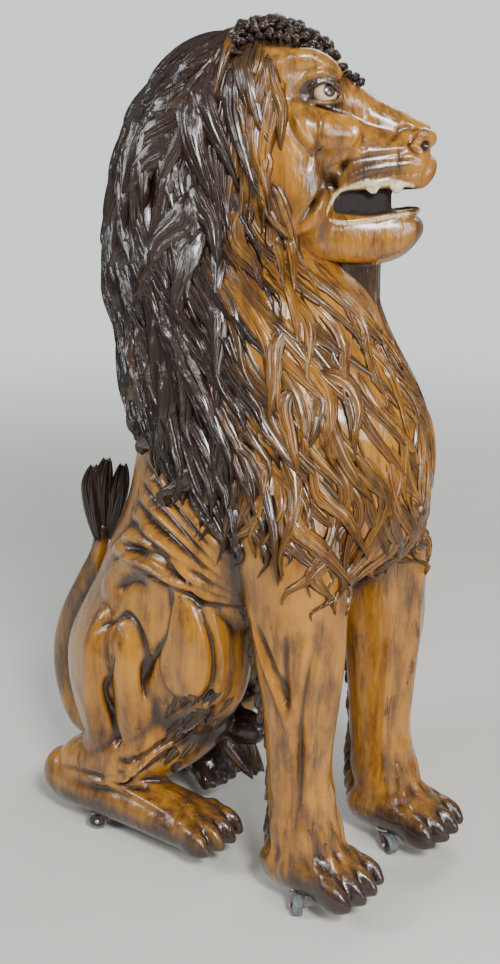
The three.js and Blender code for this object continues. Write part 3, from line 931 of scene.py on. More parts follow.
    def thigh(self, clay: Clay, side: Side) -> None:
        """Adds the round thigh, the two long muscles of the shank and the knob of the heel."""
        s = side.value
        clay.bent([(-244, s * 150, 604, 30, 34), (-220, s * 160, 535, 46, 60), (-214, s * 162, 460, 50, 76),
                   (-226, s * 158, 388, 50, 80), (-250, s * 150, 334, 38, 52)], blunt=3)
        clay.bent([(-370, s * 158, 500, 38, 44), (-368, s * 170, 430, 44, 52), (-352, s * 172, 350, 44, 50),
                   (-362, s * 164, 270, 42, 48), (-400, s * 150, 190, 36, 44)], blunt=3)
        clay.bent([(-418, s * 156, 490, 40, 42), (-436, s * 172, 400, 46, 44), (-440, s * 174, 300, 46, 44),
                   (-446, s * 166, 220, 44, 42), (-490, s * 150, 150, 44, 46)], blunt=3)
        if side is Side.NEAR:
            clay.lump((-566, -160, 84), (48, 46, 54))

    def under_parts(self, clay: Clay) -> None:
        """Adds the knob of the belly and the pointed tuft of fur below it."""
        clay.lump((-222, 0, 222), (52, 34, 36))
        clay.bent(((-330, 0, 250, 50, 55), (-260, 0, 225, 40, 40), (-215, 0, 220, 28, 26)))
        for y in (-26, -9, 9, 26):
            clay.bent(((-262, y, 205, 18, 18), (-228, y, 165, 14, 15), (-192 + abs(y) * 0.4, y * 0.7, 118, 4, 5)),
                      sides=14, rings=14, blunt=3)

    def build(self) -> Skin:
        """Fuses the body and carves its muscles.

        Returns:
            The skin.
        """
        clay = Clay()
        clay.bent(self.trunk.stations, level=True, blunt=8, sides=64, rings=64)
        for side in Side:
            self.fore(clay, side)
            self.hind(clay, side)
        clay.bent(self.tail, sides=20, rings=40)
        mass = clay.fused("body_mass", 8)
        mass.smooth(7)
        clay = mass.clay()
        for side in Side:
            self.thigh(clay, side)
            self.all_toes(clay, side)
        for lobe in self.tuft:
            clay.bent(lobe, sides=16, rings=16, blunt=3)
        self.under_parts(clay)
        skin = clay.fused("carved_body", self.voxel)
        skin.smooth(5)
        self.muscles(skin)
        skin.smooth(3, 0.5)
        skin.sawn(SOLE_HEIGHT)
        self.stain(skin)
        return skin

    def muscles(self, skin: Skin) -> None:
        """Raises the ribs, muscles and tendons of both flanks."""
        skin.ready()
        for side in Side:
            s = side.value
            for index in range(6):
                drop = index * 30
                path = [(-330 - index * 22, s * 170, 812 - index * 40), (-225 - index * 8, s * 200, 752 - drop),
                        (-146 - index * 4, s * 200, 694 - drop * 0.8), (-100, s * 190, 648 - drop * 0.7)]
                skin.ridge(path, 19, 17 - index)
                skin.ridge([(x, y, z - 19) for x, y, z in path], 11, -6)
            for path, width, height in self.carved_lines:
                skin.ridge([(x, s * y, z) for x, y, z in path], width, height)
        for index in range(13):
            x, z = -140 - index * 17, 336 - index * 13
            for shift, height in ((0, 8), (9, -6)):
                skin.ridge([(x + shift, -200, z), (x - 36 + shift, -180, z - 34), (x - 84 + shift, -160, z - 52),
                            (x - 130 + shift, -150, z - 60)], 7, height)
        skin.settle()

    def stain(self, skin: Skin) -> None:
        """Paints the dark stain, a darker band towards the floor, the worn ridges, and painted shade under the
        belly and in creases and hollows.
        """
        x, y, z = skin.points.T
        paws = np.clip((150 - z) / 70, 0, 1) * np.clip((x + 20) / 70, 0, 1)
        tuft = np.clip((z - 520) / 40, 0, 1) * np.clip((-500 - x) / 30, 0, 1)
        belly = np.clip((270 - z) / 60, 0, 1) * (np.abs(y) < 90) * np.clip((-150 - x) / 30, 0, 1) * (x > -330)
        fringe = np.clip((-44 - x) / 14, 0, 1) * (x > -120) * (z < 560) * (z > 110) * (np.abs(y) > 60)
        # painted shade under the belly, between the legs
        under = np.exp(-(((x + 205) / 95) ** 2 + ((z - 270) / 60) ** 2)) * 1.1
        # painted shade on the far hind toes, under the belly
        far_toes_shade = (y > -30) * np.clip((130 - z) / 40, 0, 1) * (x < -250) * (x > -420)
        # painted shade in the crease between foreleg and haunch
        crease = np.exp(-(((x + 106) / 26) ** 2)) * np.clip((z - 300) / 60, 0, 1) * (z < 800) * 0.7
        behind = (-60 - PHOTO_RIGHT[0] * (x - NECK_X) - PHOTO_RIGHT[1] * y) / 80
        # under the mane: the black-brown stain of its back, and painted shade in the gaps between locks
        mane = np.clip((z - 900) / 80, 0, 1) * np.clip(behind, 0.15, 1)
        sole = np.clip((86 - z) / 40, 0, 1) * 0.5
        # painted shade in the broad hollows of the body
        broad_shade = np.clip(skin.hollows(5, 0.2, 24), 0, 1) * 0.8
        hind_foot = np.clip((160 - z) / 60, 0, 1) * np.clip((-130 - x) / 40, 0, 1) * 0.42
        tail = np.clip((-585 - x) / 30, 0, 1) * np.clip((z - 150) / 60, 0, 1) * (np.abs(y) < 70) * 0.5
        dark = (paws * 0.7 + hind_foot + tail + tuft + belly * 0.6 + fringe * 0.7 + under + far_toes_shade + crease
                + mane * 0.8 + sole + broad_shade)
        skin.paint("dark", np.clip(dark, 0, 1))
        # painted shade in the creases of the body
        skin.paint("hollow", np.clip(skin.hollows(8, 1.3, 6) - 0.1, 0, 1) * 0.6)
        skin.paint("worn", np.clip(-skin.hollows(1, 1.2) - 0.45, 0, 1) * 0.5)
        skin.paint("mouth", np.zeros(len(x)))


@dataclass
class Head:
    """The head, drawn in its own frame: x to the nose, y to the lion's left, z up."""

    voxel: float = 2.7
    teeth: tuple[tuple[float, float], ...] = ((126, 61), (166, 52))
    # eye socket, its inner part and nostril: centre, size and height
    pits: tuple[tuple[Row, float, float], ...] = (
        ((42, 86, 12), 21, -11), ((10, 92, 8), 26, -5), ((209, 30, -78), 12, -13))
    carved_lines: tuple[tuple[tuple[Row, ...], float, float], ...] = (
        # behind the nose wing, the long fold below the eye and the edge of the cheek
        (((198, 44, -44), (186, 48, -62), (190, 48, -82), (204, 44, -92)), 9, -8),
        (((196, 40, -36), (168, 46, -50), (150, 52, -72)), 10, -5),
        (((92, 60, -14), (110, 62, -50), (104, 70, -86)), 12, -5),
        (((76, 62, -8), (94, 70, -46), (84, 80, -84)), 12, 4),
        (((-20, 108, -6), (-10, 108, -46), (20, 100, -86), (10, 104, -120)), 14, -6),
        (((-6, 106, -20), (10, 102, -60), (34, 96, -86)), 13, 6),
        # the crack down the cheek and the one across the bridge
        (((36, 88, -30), (34, 94, -66), (32, 96, -110)), 3.5, -4),
        (((116, 46, -16), (104, 66, -52), (86, 78, -84)), 3.2, -3.5))

    def mass(self) -> Skin:
        """Fuses the large forms of skull, muzzle and jaw.

        Returns:
            The smoothed skin.
        """
        clay = Clay(HEAD_FRAME)
        clay.lump((-62, 0, -8), (122, 106, 126))
        clay.lump((-6, 0, 20), (76, 82, 70))
        clay.bent(((10, 0, 16, 62, 50), (50, 0, -2, 54, 44), (82, 0, -15, 45, 40), (107, 0, -32, 40, 39),
                   (143, 0, -48, 36, 38), (184, 0, -66, 33, 36), (213, 0, -78, 31, 34)), rings=36, blunt=9)
        clay.bent(((-40, 0, -80, 100, 96), (40, 0, -82, 88, 78), (90, 0, -92, 74, 62), (140, 0, -100, 65, 54),
                   (190, 0, -104, 56, 50), (220, 0, -106, 42, 46)), rings=36, blunt=8)
        clay.bent(((-60, 0, -170, 96, 70), (0, 0, -212, 90, 64), (60, 0, -236, 72, 48), (120, 0, -238, 60, 46),
                   (160, 0, -230, 52, 42), (190, 0, -215, 44, 28), (206, 0, -202, 38, 14)), rings=40, blunt=11)
        clay.bent(((30, 0, -170, 62, 46), (90, 0, -178, 50, 44), (156, 0, -180, 34, 44)), blunt=9)
        for side in Side:
            s = side.value
            clay.bent(((14, s * 62, -226, 22, 44), (80, s * 52, -232, 22, 44), (130, s * 45, -232, 20, 42),
                       (168, s * 38, -222, 19, 36), (200, s * 26, -205, 18, 18)), sides=20, rings=24, blunt=11)
            clay.bent(((60, s * 60, -112, 18, 44), (120, s * 52, -114, 18, 38), (180, s * 40, -114, 18, 34),
                       (214, s * 24, -112, 17, 32)), sides=20, rings=24, blunt=9)
            clay.lump((-36, s * 72, 22), (64, 34, 64))
            clay.bent(((110, s * 52, -62, 22, 26), (60, s * 70, -58, 30, 36), (0, s * 84, -50, 34, 44),
                       (-66, s * 94, -30, 24, 54)), sides=20, rings=20)
            clay.bent(((-34, s * 88, -40, 28, 60), (-26, s * 90, -110, 30, 66), (-6, s * 86, -180, 30, 62),
                       (10, s * 78, -226, 28, 48)), sides=20, rings=20)
            clay.lump((22, s * 72, -184), (40, 24, 62))
            clay.bent(((-66, s * 82, 18, 12, 16), (-40, s * 90, 48, 16, 18), (5, s * 84, 62, 19, 19),
                       (40, s * 70, 54, 18, 17), (68, s * 44, 28, 13, 14)), sides=20, rings=24)
        skin = clay.fused("head_mass", 3.6)
        skin.smooth(9)
        return skin

    def face_side(self, clay: Clay, s: int) -> None:
        """Adds the small forms that come in pairs: lids, lips, nostril wing.

        Args:
            clay: The lump that receives them.
            s: -1 for the near side and 1 for the far side.
        """
        clay.bent(((190, s * 36, -60, 9, 9), (204, s * 32, -60, 11, 12), (217, s * 22, -66, 11, 13),
                   (219, s * 12, -80, 9, 8)), sides=14, rings=16)
        clay.bent(((218, s * 10, -98, 8, 8), (214, s * 22, -112, 15, 19), (204, s * 30, -132, 14, 18),
                   (190, s * 36, -143, 11, 11)), sides=16, rings=16)
        clay.bent(((56, s * 70, -190, 5, 6), (56, s * 73, -172, 5, 5), (72, s * 71, -150, 6, 6),
                   (116, s * 65, -137, 6, 6), (160, s * 55, -135, 5, 6), (188, s * 42, -142, 4, 5),
                   (204, s * 34, -148, 4, 5)), sides=16, rings=30)
        clay.bent(((57, s * 70, -190, 5, 5), (64, s * 71, -202, 5, 6), (100, s * 62, -202, 4, 6),
                   (150, s * 52, -195, 4, 6), (190, s * 36, -189, 4, 6), (206, s * 12, -188, 4, 6)),
                  sides=16, rings=30)
        clay.bent(((6, s * 84, 0, 4, 5), (20, s * 88, 16, 6, 6), (42, s * 86, 24, 7, 6), (62, s * 73, 17, 6, 6),
                   (76, s * 58, -2, 4, 4)), sides=12, rings=24)
        clay.bent(((6, s * 84, 0, 4, 4), (26, s * 87, -5, 5, 5), (52, s * 81, -7, 5, 5), (76, s * 58, -2, 4, 4)),
                  sides=12, rings=20)
        clay.bent(((-6, s * 90, 6, 5, 6), (12, s * 92, 30, 6, 7), (40, s * 86, 40, 7, 7), (66, s * 70, 28, 6, 6)),
                  sides=12, rings=20)
        for x, y in self.teeth:
            clay.bent(((x, s * y, -134, 12, 8), (x, s * (y - 1), -146, 12, 7), (x + 1, s * (y - 3), -158, 7, 5)),
                      across=(1, 0, 0), sides=12, rings=12, blunt=3)

    def build(self) -> Skin:
        """Fuses the head and carves the lines of the face.

        Returns:
            The skin.
        """
        clay = self.mass().clay()
        clay.place = np.array(HEAD_FRAME)
        for side in Side:
            self.face_side(clay, side.value)
        clay.block((72, -44, -352), (138, 44, -255))
        skin = clay.fused("carved_head", self.voxel)
        skin.smooth(3)
        self.lines(skin)
        skin.smooth(1, 0.35)
        self.stain(skin)
        return skin

    def to_drawing(self, path: Iterable[Row]) -> list[Vector]:
        """Turns points of the head's frame into points of the drawing."""
        return [HEAD_FRAME @ Vector(point) for point in path]

    def lines(self, skin: Skin) -> None:
        """Sinks the eye sockets and nostrils and carves the whisker lines."""
        chance = random.Random(8)
        skin.ready()
        for side in Side:
            s = side.value
            for (x, y, z), size, height in self.pits:
                skin.swell(HEAD_FRAME @ Vector((x, s * y, z)), size, height)
            for path, width, height in self.carved_lines:
                skin.ridge(self.to_drawing((x, s * y, z) for x, y, z in path), width, height)
            for index in range(9):
                drop = index * 5.5
                reach = chance.uniform(-26, 20)
                path = ((206 + min(reach, 0), s * 42, -90 - drop + chance.uniform(-3, 3)),
                        (150, s * 62, -88 - drop * 1.3 + chance.uniform(-3, 3)),
                        (96, s * 76, -100 - drop * 1.6), (62 + reach, s * 84, -120 - drop * 1.7))
                skin.ridge(self.to_drawing(path), chance.uniform(4, 7), chance.uniform(-4, -2))
            for index in range(9):
                drop = index * 11
                path = ((100 - drop * 0.3, s * 84, -92 - drop * 0.3 + chance.uniform(-5, 5)),
                        (60 - drop * 0.4, s * 96, -128 - drop * 0.5),
                        (24 - drop * 0.4, s * 104, -180 - drop * 0.6 + chance.uniform(-12, 12)))
                skin.ridge(self.to_drawing(path), chance.uniform(4, 8), chance.uniform(-4.5, -2))
        skin.settle()

    def stain(self, skin: Skin) -> None:
        """Paints the worn edges, the stained crown, and painted shade in the mouth, eye sockets, nostrils,
        creases and under the jaw.
        """
        local = np.array(FROM_DRAWING)
        x, y, z = (skin.points @ local[:3, :3].T + local[:3, 3]).T
        # painted shade: the filled inside of the open mouth is painted near black
        inside = (x > 50) & (x < 216) & (np.abs(y) < np.interp(x, [50, 120, 216], [64, 56, 34])) \
            & (z < np.interp(x, [50, 72, 116, 160, 190, 216], [-176, -156, -143, -141, -149, -154])) \
            & (z > np.interp(x, [50, 100, 216], [-204, -203, -184]))
        mouth = inside.astype(float)
        upper_lip = np.interp(x, [50, 56, 72, 116, 160, 204], [190, 172, 152, 139, 137, 149])
        rim = np.exp(-((z + upper_lip) / 7) ** 2) * (x > 50) * (x < 196)
        for tooth, _ in self.teeth:
            fang = np.exp(-((x - tooth) / 12) ** 4) * (z > -162) * (z < -136) * (np.abs(y) > 44)
            mouth *= 1 - fang
            rim = np.maximum(rim, fang * 1.3)
        lower_lip = np.interp(x, [50, 66, 100, 150, 204, 225], [196, 205, 206, 197, 187, 186])
        low = np.exp(-((z + lower_lip) / 4) ** 2) * (x > 54) * 0.8
        block = (z < -276) & (x > 60)
        edge = block * np.clip((x - 124) / 12, 0, 1)
        for _ in range(2):
            mouth = 0.5 * mouth + 0.5 * skin.around(mouth)
        skin.paint("mouth", np.clip(mouth, 0, 1))
        skin.paint("worn", np.clip((rim + low) * (1 - mouth) * 0.62 + edge * 0.25, 0, 1))
        crown = np.clip((z - 74) / 14, 0, 1) + np.clip((-60 - x) / 40, 0, 1)
        # painted shade in the eye socket, under the brow
        socket = np.exp(-(((x - 36) / 38) ** 2 + ((z - 13) / 25) ** 2)) * 1.05
        # painted shade in the broad hollows of the head
        broad_shade = np.clip(skin.hollows(4, 0.3, 14), 0, 1) * 0.5
        # painted shadow in the slot between the throat and the beard block
        throat = np.exp(-(((x - 56) / 16) ** 2 + ((z + 300) / 46) ** 2)) * 0.6
        whiskers = np.exp(-(((x - 120) / 80) ** 2 + ((z + 118 - (x - 120) * 0.2) / 22) ** 2)) * 0.55
        # painted shade in the nostril
        nostril = np.exp(-(((x - 209) / 9) ** 2 + ((z + 80) / 8) ** 2)) * (np.abs(y) > 20)
        # painted shade at the corner of the mouth, under the cheek
        mouth_corner_shade = np.exp(-(((x - 40) / 34) ** 2 + ((z + 150) / 50) ** 2)) * 0.3
        dark = crown + socket + block * 0.8 + broad_shade + throat + whiskers + mouth_corner_shade + nostril
        skin.paint("dark", np.clip(dark, 0, 1))
        # painted shade in the creases of the face
        skin.paint("hollow", np.clip(skin.hollows(2, 1.8), 0, 1) * 0.8)


@dataclass
class Eye:
    """An eyeball set between the lids."""

    centre: Row = (42, 63, 8)
    radius: float = 21

    def build(self, side: Side) -> bpy.types.Object:
        """Makes one eye.

        Args:
            side: Which side of the face.

        Returns:
            The piece.
        """
        mesh = bmesh.new()
        bmesh.ops.create_uvsphere(mesh, u_segments=32, v_segments=24, radius=1)
        gaze = mesh.verts.layers.float.new("gaze")
        look = Vector((0.50, side.value * 0.82, 0.20)).normalized()
        x, y, z = self.centre
        for vert in mesh.verts:
            vert[gaze] = vert.co.angle(look)
            vert.co = HEAD_FRAME @ (Vector((x, side.value * y, z)) + vert.co * self.radius)
            vert.co = vert.co * MILLIMETRE + SHIFT
        return piece_of(mesh, f"eye_{side.name.lower()}")


def piece_of(mesh: bmesh.types.BMesh, name: str) -> bpy.types.Object:
    """Turns a bmesh in the part's frame into a smooth-shaded piece.

    Args:
        mesh: The mesh, which is freed.
        name: The piece's name.

    Returns:
        The piece.
    """
    data = bpy.data.meshes.new(name)
    mesh.to_mesh(data)
    mesh.free()
    data.shade_smooth()
    piece = bpy.data.objects.new(name, data)
    bpy.context.scene.collection.objects.link(piece)
    return piece


def lay_lock(heap: Heap, path: Sequence[Vector], normals: Sequence[Vector], width: float, height: float,
             lift: float, stain: float, tint: float, size: tuple[int, int] = (18, 14)) -> None:
    """Adds one pointed, furrowed lock of hair along a path on the skin.

    Args:
        heap: The heap that receives it.
        path: Points from its root to its tip.
        normals: Outward directions at those points.
        width: Half its width.
        height: How far its ridge stands out.
        lift: How far its tip stands off the skin.
        stain: How dark it is.
        tint: How brown it is.
        size: Points round the lock and along it.
    """
    form = ball(*size)
    along, turn = form.along, form.turn
    curve = smooth_rows(np.array(path), along)
    outward = unit_rows(smooth_rows(np.array(normals), along))
    tangent = unit_rows(smooth_rows(np.array(path), along + 0.03) - smooth_rows(np.array(path), along - 0.03))
    side = unit_rows(np.cross(outward, tangent))
    wide = width * 1.1 * np.sin(math.pi * np.clip(along, 0, 1) ** 0.62) * (1.2 - 0.5 * along)
    tall = height * (0.5 + 0.5 * along) * np.sin(math.pi * along ** 0.8) ** 0.5
    across = np.cos(turn)
    up = np.sin(turn)
    furrow = 1 + 0.22 * np.cos(across * 8.2 + along * 2)
    rise = np.where(up > 0, (1 - np.abs(across) ** 1.9) * tall * furrow, up * 9)
    points = curve + side * (across * wide)[:, None] + outward * (rise + lift * along ** 1.6 - 4)[:, None]
    # painted shade at the lock's root, under the locks above, and along its edges, in the gaps between locks
    hollow = np.maximum(0.8 * (1 - along * 5), 0.75 * (np.abs(across) - 0.55) / 0.45) * (0.5 + 0.4 * stain)
    worn = np.clip((1 - np.abs(across) * 3) * (along - 0.35), 0, 1) * 0.5
    heap.add(points, form.faces, across=across, tint=tint, dark=stain, hollow=np.clip(hollow, 0, 1), worn=worn)


@dataclass
class Mane:
    """Long ridged locks laid over neck, shoulders and chest, and the short fur of legs, flanks and tail."""

    trunk: Trunk
    under: BVHTree
    top: float = 1545
    lowest: float = 600
    pitch: float = 54
    spacing: float = 40
    main_locks: tuple[tuple[Row, ...], ...] = (
        ((-218, -34, 1532), (-266, -40, 1513), (-303, -59, 1490), (-335, -74, 1458)),
        ((-202, -22, 1541), (-226, -63, 1511), (-262, -100, 1475), (-355, -81, 1434)),
        ((-252, -34, 1518), (-289, -52, 1500), (-317, -65, 1477), (-346, -78, 1445)),
        ((-332, -72, 1461), (-358, -83, 1429), (-375, -93, 1398), (-386, -98, 1374)),
        ((-374, -92, 1400), (-389, -102, 1360), (-403, -106, 1318), (-411, -110, 1284)),
        ((-396, -103, 1343), (-409, -109, 1293), (-420, -111, 1244), (-426, -111, 1210)),
        ((-416, -112, 1260), (-423, -112, 1223), (-430, -111, 1188), (-435, -108, 1168)),
        ((-242, -112, 1459), (-284, -128, 1426), (-324, -127, 1405), (-374, -110, 1375)),
        ((-238, -130, 1418), (-277, -144, 1390), (-316, -148, 1360), (-337, -159, 1284)),
        ((-245, -142, 1386), (-284, -155, 1349), (-315, -160, 1310), (-314, -171, 1222)),
        ((-227, -110, 1459), (-232, -131, 1410), (-219, -142, 1354), (-194, -140, 1289)),
        ((-207, -74, 1507), (-219, -113, 1446), (-207, -123, 1406), (-171, -115, 1322)),
        ((-174, -90, 1486), (-174, -104, 1438), (-167, -99, 1386), (-126, -98, 1306)),
        ((-158, -48, 1531), (-157, -85, 1490), (-143, -96, 1446), (-122, -90, 1399), (-106, -91, 1371)),
        ((-118, -74, 1498), (-108, -82, 1458), (-89, -80, 1411), (-84, -82, 1371)),
        ((-167, -99, 1378), (-156, -94, 1338), (-142, -97, 1305), (-147, -99, 1272)),
        ((-131, -92, 1379), (-108, -95, 1331), (-113, -96, 1298), (-104, -86, 1244), (-84, -70, 1215)),
        ((-100, -92, 1298), (-86, -82, 1258), (-81, -59, 1202), (-53, -91, 1140)),
        ((-146, -100, 1264), (-153, -118, 1232), (-141, -127, 1191), (-106, -126, 1156), (-89, -134, 1133)),
        ((-134, -87, 1255), (-111, -75, 1214), (-89, -84, 1174), (-63, -107, 1137)),
        ((-214, -150, 1297), (-199, -148, 1256), (-182, -144, 1224), (-165, -152, 1175)),
        ((-220, -155, 1281), (-226, -163, 1235), (-266, -176, 1192), (-274, -180, 1149)),
        ((-321, -170, 1218), (-342, -167, 1182), (-381, -151, 1138), (-376, -151, 1089)),
        ((-295, -174, 1211), (-281, -178, 1170), (-292, -180, 1126), (-307, -177, 1090)),
        ((-193, -150, 1224), (-211, -168, 1182), (-214, -179, 1141), (-221, -186, 1098)),
        ((-35, -133, 1067), (-46, -152, 1029), (-38, -163, 981), (-35, -175, 934)),
        ((-9, -152, 968), (-16, -167, 935), (4, -170, 878), (14, -166, 838)),
        ((16, -121, 996), (53, -95, 976), (82, -93, 935), (88, -111, 894)),
        ((42, -132, 937), (63, -134, 890), (88, -117, 829), (107, -101, 793)),
        ((36, -155, 859), (51, -150, 789), (83, -125, 753), (99, -102, 703)),
        ((11, -195, 778), (35, -194, 736), (66, -170, 704), (83, -140, 657)),
        ((-123, -197, 916), (-93, -196, 869), (-54, -190, 832), (-3, -210, 743), (8, -216, 679)),
        ((-288, -178, 963), (-273, -182, 902), (-243, -188, 833)),
        ((-201, -196, 930), (-195, -197, 863), (-174, -199, 814), (-154, -200, 770)),
        ((99, 88, 912), (122, 71, 872), (125, 75, 801)))

    def edge(self, angle: float) -> float:
        """Height of the mane's lower edge at an angle round the trunk."""
        share = min(max((abs(angle) - 0.9) / 1.6, 0), 1)
        over_leg = 80 * math.exp(-((abs(angle) - 1.0) / 0.35) ** 2)
        return 606 + 235 * share * share * (3 - 2 * share) + over_leg

    def skin_at(self, angle: float, height: float) -> tuple[Vector, Vector]:
        """Finds the surface under the mane.

        Args:
            angle: Angle round the trunk, 0 at the front.
            height: Height in millimetres.

        Returns:
            The place and the outward direction.
        """
        x, y, _, _, _ = self.trunk.middle(height)
        outward = Vector((math.cos(angle), math.sin(angle), 0))
        start = Vector((x, y, height)) + outward * 700
        place, normal, _, _ = self.under.ray_cast(start, -outward)
        if place is None:
            return Vector((x, y, height)), outward
        return place, normal

    def on_face(self, place: Vector) -> bool:
        """Whether a place belongs to the bare face, its throat or the block of its beard."""
        local = FROM_DRAWING @ place
        line = np.interp(local.z, [-300, -230, -100, 60, 110], [60, 14, -34, -52, -60])
        beard = -356 < local.z <= -262 and local.x > 60 and abs(local.y) < 70
        return beard or (local.z > -262 and local.x > line)

    def stain(self, place: Vector, chance: random.Random) -> float:
        """How dark a lock is: black-brown behind and at the hem, amber on the chest and by the face."""
        u = PHOTO_RIGHT[0] * (place.x - NECK_X) + PHOTO_RIGHT[1] * place.y
        back = min(max((-48 - u) / 80, 0), 1)
        hem = min(max((960 - place.z) / 200, 0), 1) * min(max((-50 - u) / 60, 0), 1)
        return min(1.0, max(back, hem) * chance.uniform(0.62, 1.0) + chance.uniform(0, 0.2))

    def shape(self, angle: float) -> tuple[float, float, float]:
        """Chooses a lock's length, half width and height by its angle round the mane."""
        behind = min(max((abs(angle) - 1.1) / 0.8, 0), 1)
        return 225 + 55 * behind, 14 + 14 * behind, 14 + 16 * behind

    def tiers(self, heap: Heap, chance: random.Random) -> None:
        """Lays tiers of waving locks from the hem up to the crown."""
        count = int((self.top - self.lowest) / self.pitch) + 1
        for tier in range(count, -1, -1):
            root = self.top - tier * self.pitch
            row = self.trunk.middle(max(root - 60, self.lowest))
            around = max(10, int(math.tau * (row[3] + row[4]) / 2 / self.spacing))
            for index in range(around):
                angle = math.tau * (index + (tier % 2) / 2 + chance.uniform(-0.2, 0.2)) / around - math.pi
                start = root + chance.uniform(-20, 20)
                reach, width, height = self.shape(angle)
                length = reach * chance.uniform(0.8, 1.2)
                if start - length < self.edge(angle) - 40:
                    length = start - self.edge(angle) + chance.uniform(10, 40)
                if length < 80:
                    continue
                sway = chance.choice((-1, 1)) * chance.uniform(0.06, 0.13)
                lean = self.lean(angle, start) * length / reach
                path, normals = [], []
                for step in (0, 0.2, 0.4, 0.6, 0.8, 1):
                    place, normal = self.skin_at(
                        angle + lean * step + sway * math.sin(step * 5.6) * (0.5 + step), start - length * step)
                    path.append(place)
                    normals.append(normal)
                if any(self.on_face(place) for place in path[1:]):
                    continue
                lay_lock(heap, path, normals, width * chance.uniform(0.75, 1.2),
                         height * chance.uniform(0.8, 1.25), chance.uniform(2, 4 + height * 0.5),
                         self.stain(path[2], chance), chance.uniform(0, 0.8))

    def lean(self, angle: float, height: float) -> float:
        """How far a lock leans round the trunk: the chest's locks sweep to the front."""
        if -1.9 < angle < 0.3 and 760 < height < 1260:
            return 0.26
        return 0.0

    def dome(self, heap: Heap, chance: random.Random) -> None:
        """Lays locks that fall from the crown over the back of the head."""
        for ring, count in ((25, 13), (70, 19), (115, 25)):
            for index in range(count):
                angle = 1.2 + (index + chance.uniform(-0.2, 0.2)) / count * (math.tau - 2.0)
                path, normals = [], []
                for step in range(5):
                    reach = ring + step * 34
                    bend = angle + 0.12 * math.sin(step * 1.6 + index)
                    spot = Vector((-205 + math.cos(bend) * reach, 10 + math.sin(bend) * reach, 1800))
                    place, normal, _, _ = self.under.ray_cast(spot, Vector((0, 0, -1)))
                    if place is not None and place.z > 1330:
                        path.append(place)
                        normals.append(normal)
                if len(path) > 3 and not any(self.on_face(place) for place in path):
                    lay_lock(heap, path, normals, chance.uniform(17, 25), chance.uniform(20, 28),
                             chance.uniform(4, 12), self.stain(path[1], chance), chance.uniform(0, 0.8))

    def fringes(self, heap: Heap, chance: random.Random) -> None:
        """Lays the ragged fur down the back of both forelegs and below the belly's knob."""
        for side in Side:
            for row in (-26, 0, 26):
                for height in range(60, 650, 25):
                    depth = np.interp(height, [60, 140, 283, 390, 480, 590, 700], [70, 72, 62, 73, 88, 98, 108])
                    x = np.interp(height, [60, 140, 390, 480, 590, 700], [25, 20, 5, 0, -8, -25]) - depth \
                        + abs(row) * 0.4 + chance.uniform(-4, 4)
                    y = side.value * (Body.foreleg_spread + row) + chance.uniform(-6, 6)
                    path = [Vector((x + 14, y, height + 48)), Vector((x - 2, y, height + 24)),
                            Vector((x - 8, y + chance.uniform(-6, 6), height + 2)),
                            Vector((x - 15, y, height - 20))]
                    back = Vector((-1, side.value * row / 40, 0.2)).normalized()
                    if height - 20 > SOLE_HEIGHT + 4:
                        lay_lock(heap, path, [back] * 4, chance.uniform(10, 15), chance.uniform(8, 13), 0,
                                 chance.uniform(0.3, 0.9), chance.uniform(0, 1), (12, 10))
        for index in range(16):
            angle = index * math.tau / 16
            out = Vector((math.cos(angle), math.sin(angle), 0))
            path = [Vector((-250, 0, 214)) + out * 26, Vector((-236, 0, 180)) + out * 26,
                    Vector((-216, 0, 150)) + out * 17, Vector((-194, 0, 122)) + out * 6]
            lay_lock(heap, path, [out] * 4, 10, 9, 0, chance.uniform(0.4, 0.8), chance.uniform(0, 1), (12, 12))

    def flank(self, heap: Heap, chance: random.Random) -> None:
        """Lays the fur that hangs from the flank in front of both thighs and over the calf."""
        for side in Side:
            for row in range(6):
                for column in range(9):
                    x = -106 - column * 19 + chance.uniform(-8, 8)
                    z = 420 - row * 34 - column * 11 + chance.uniform(-8, 8)
                    path, normals = [], []
                    for step in range(4):
                        spot = Vector((x - step * 13, side.value * 420, z - step * 17))
                        place, normal, _, _ = self.under.ray_cast(spot, Vector((0, -side.value, 0)))
                        if place is not None and abs(place.y) > 40 and place.x < -84:
                            path.append(place)
                            normals.append(normal)
                    if len(path) == 4 and path[-1].z > 130:
                        lay_lock(heap, path, normals, chance.uniform(8, 13), chance.uniform(9, 14), 0,
                                 chance.uniform(0.3, 0.9), chance.uniform(0, 1), (12, 10))

    def tufts(self, heap: Heap, chance: random.Random) -> None:
        """Lays the furrowed strands of the tail's three lobes."""
        for lobe in Body.tuft:
            for index in range(6):
                angle = index * math.tau / 6 + 0.4
                out = Vector((math.cos(angle), math.sin(angle), 0))
                path = [Vector(row[:3]) + out * (row[3] + 3) for row in lobe]
                lay_lock(heap, path, [out] * 4, 8, 9, 0, chance.uniform(0.6, 1), chance.uniform(0, 1), (12, 12))

    def beside_face(self, heap: Heap, chance: random.Random) -> None:
        """Lays long locks down both sides of the head, from the ears to the jaw."""
        for side in Side:
            for index in range(9):
                local_x = -56 - index * 12 + chance.uniform(-4, 4)
                top = 96 - index * 4 + chance.uniform(-14, 14)
                path, normals = [], []
                for step in range(6):
                    drop = top - step * 62
                    swing = 12 * math.sin(step * 1.5 + index)
                    start = HEAD_FRAME @ Vector((local_x + swing + step * 4, side.value * 400, drop))
                    aim = HEAD_FRAME.to_3x3() @ Vector((0, -side.value, 0))
                    place, normal, _, _ = self.under.ray_cast(start, aim)
                    if place is None:
                        continue
                    path.append(place)
                    normals.append(normal)
                if len(path) > 3:
                    lay_lock(heap, path, normals, chance.uniform(17, 24), chance.uniform(18, 26),
                             chance.uniform(2, 14), self.stain(path[2], chance) * 0.8, chance.uniform(0.2, 1))

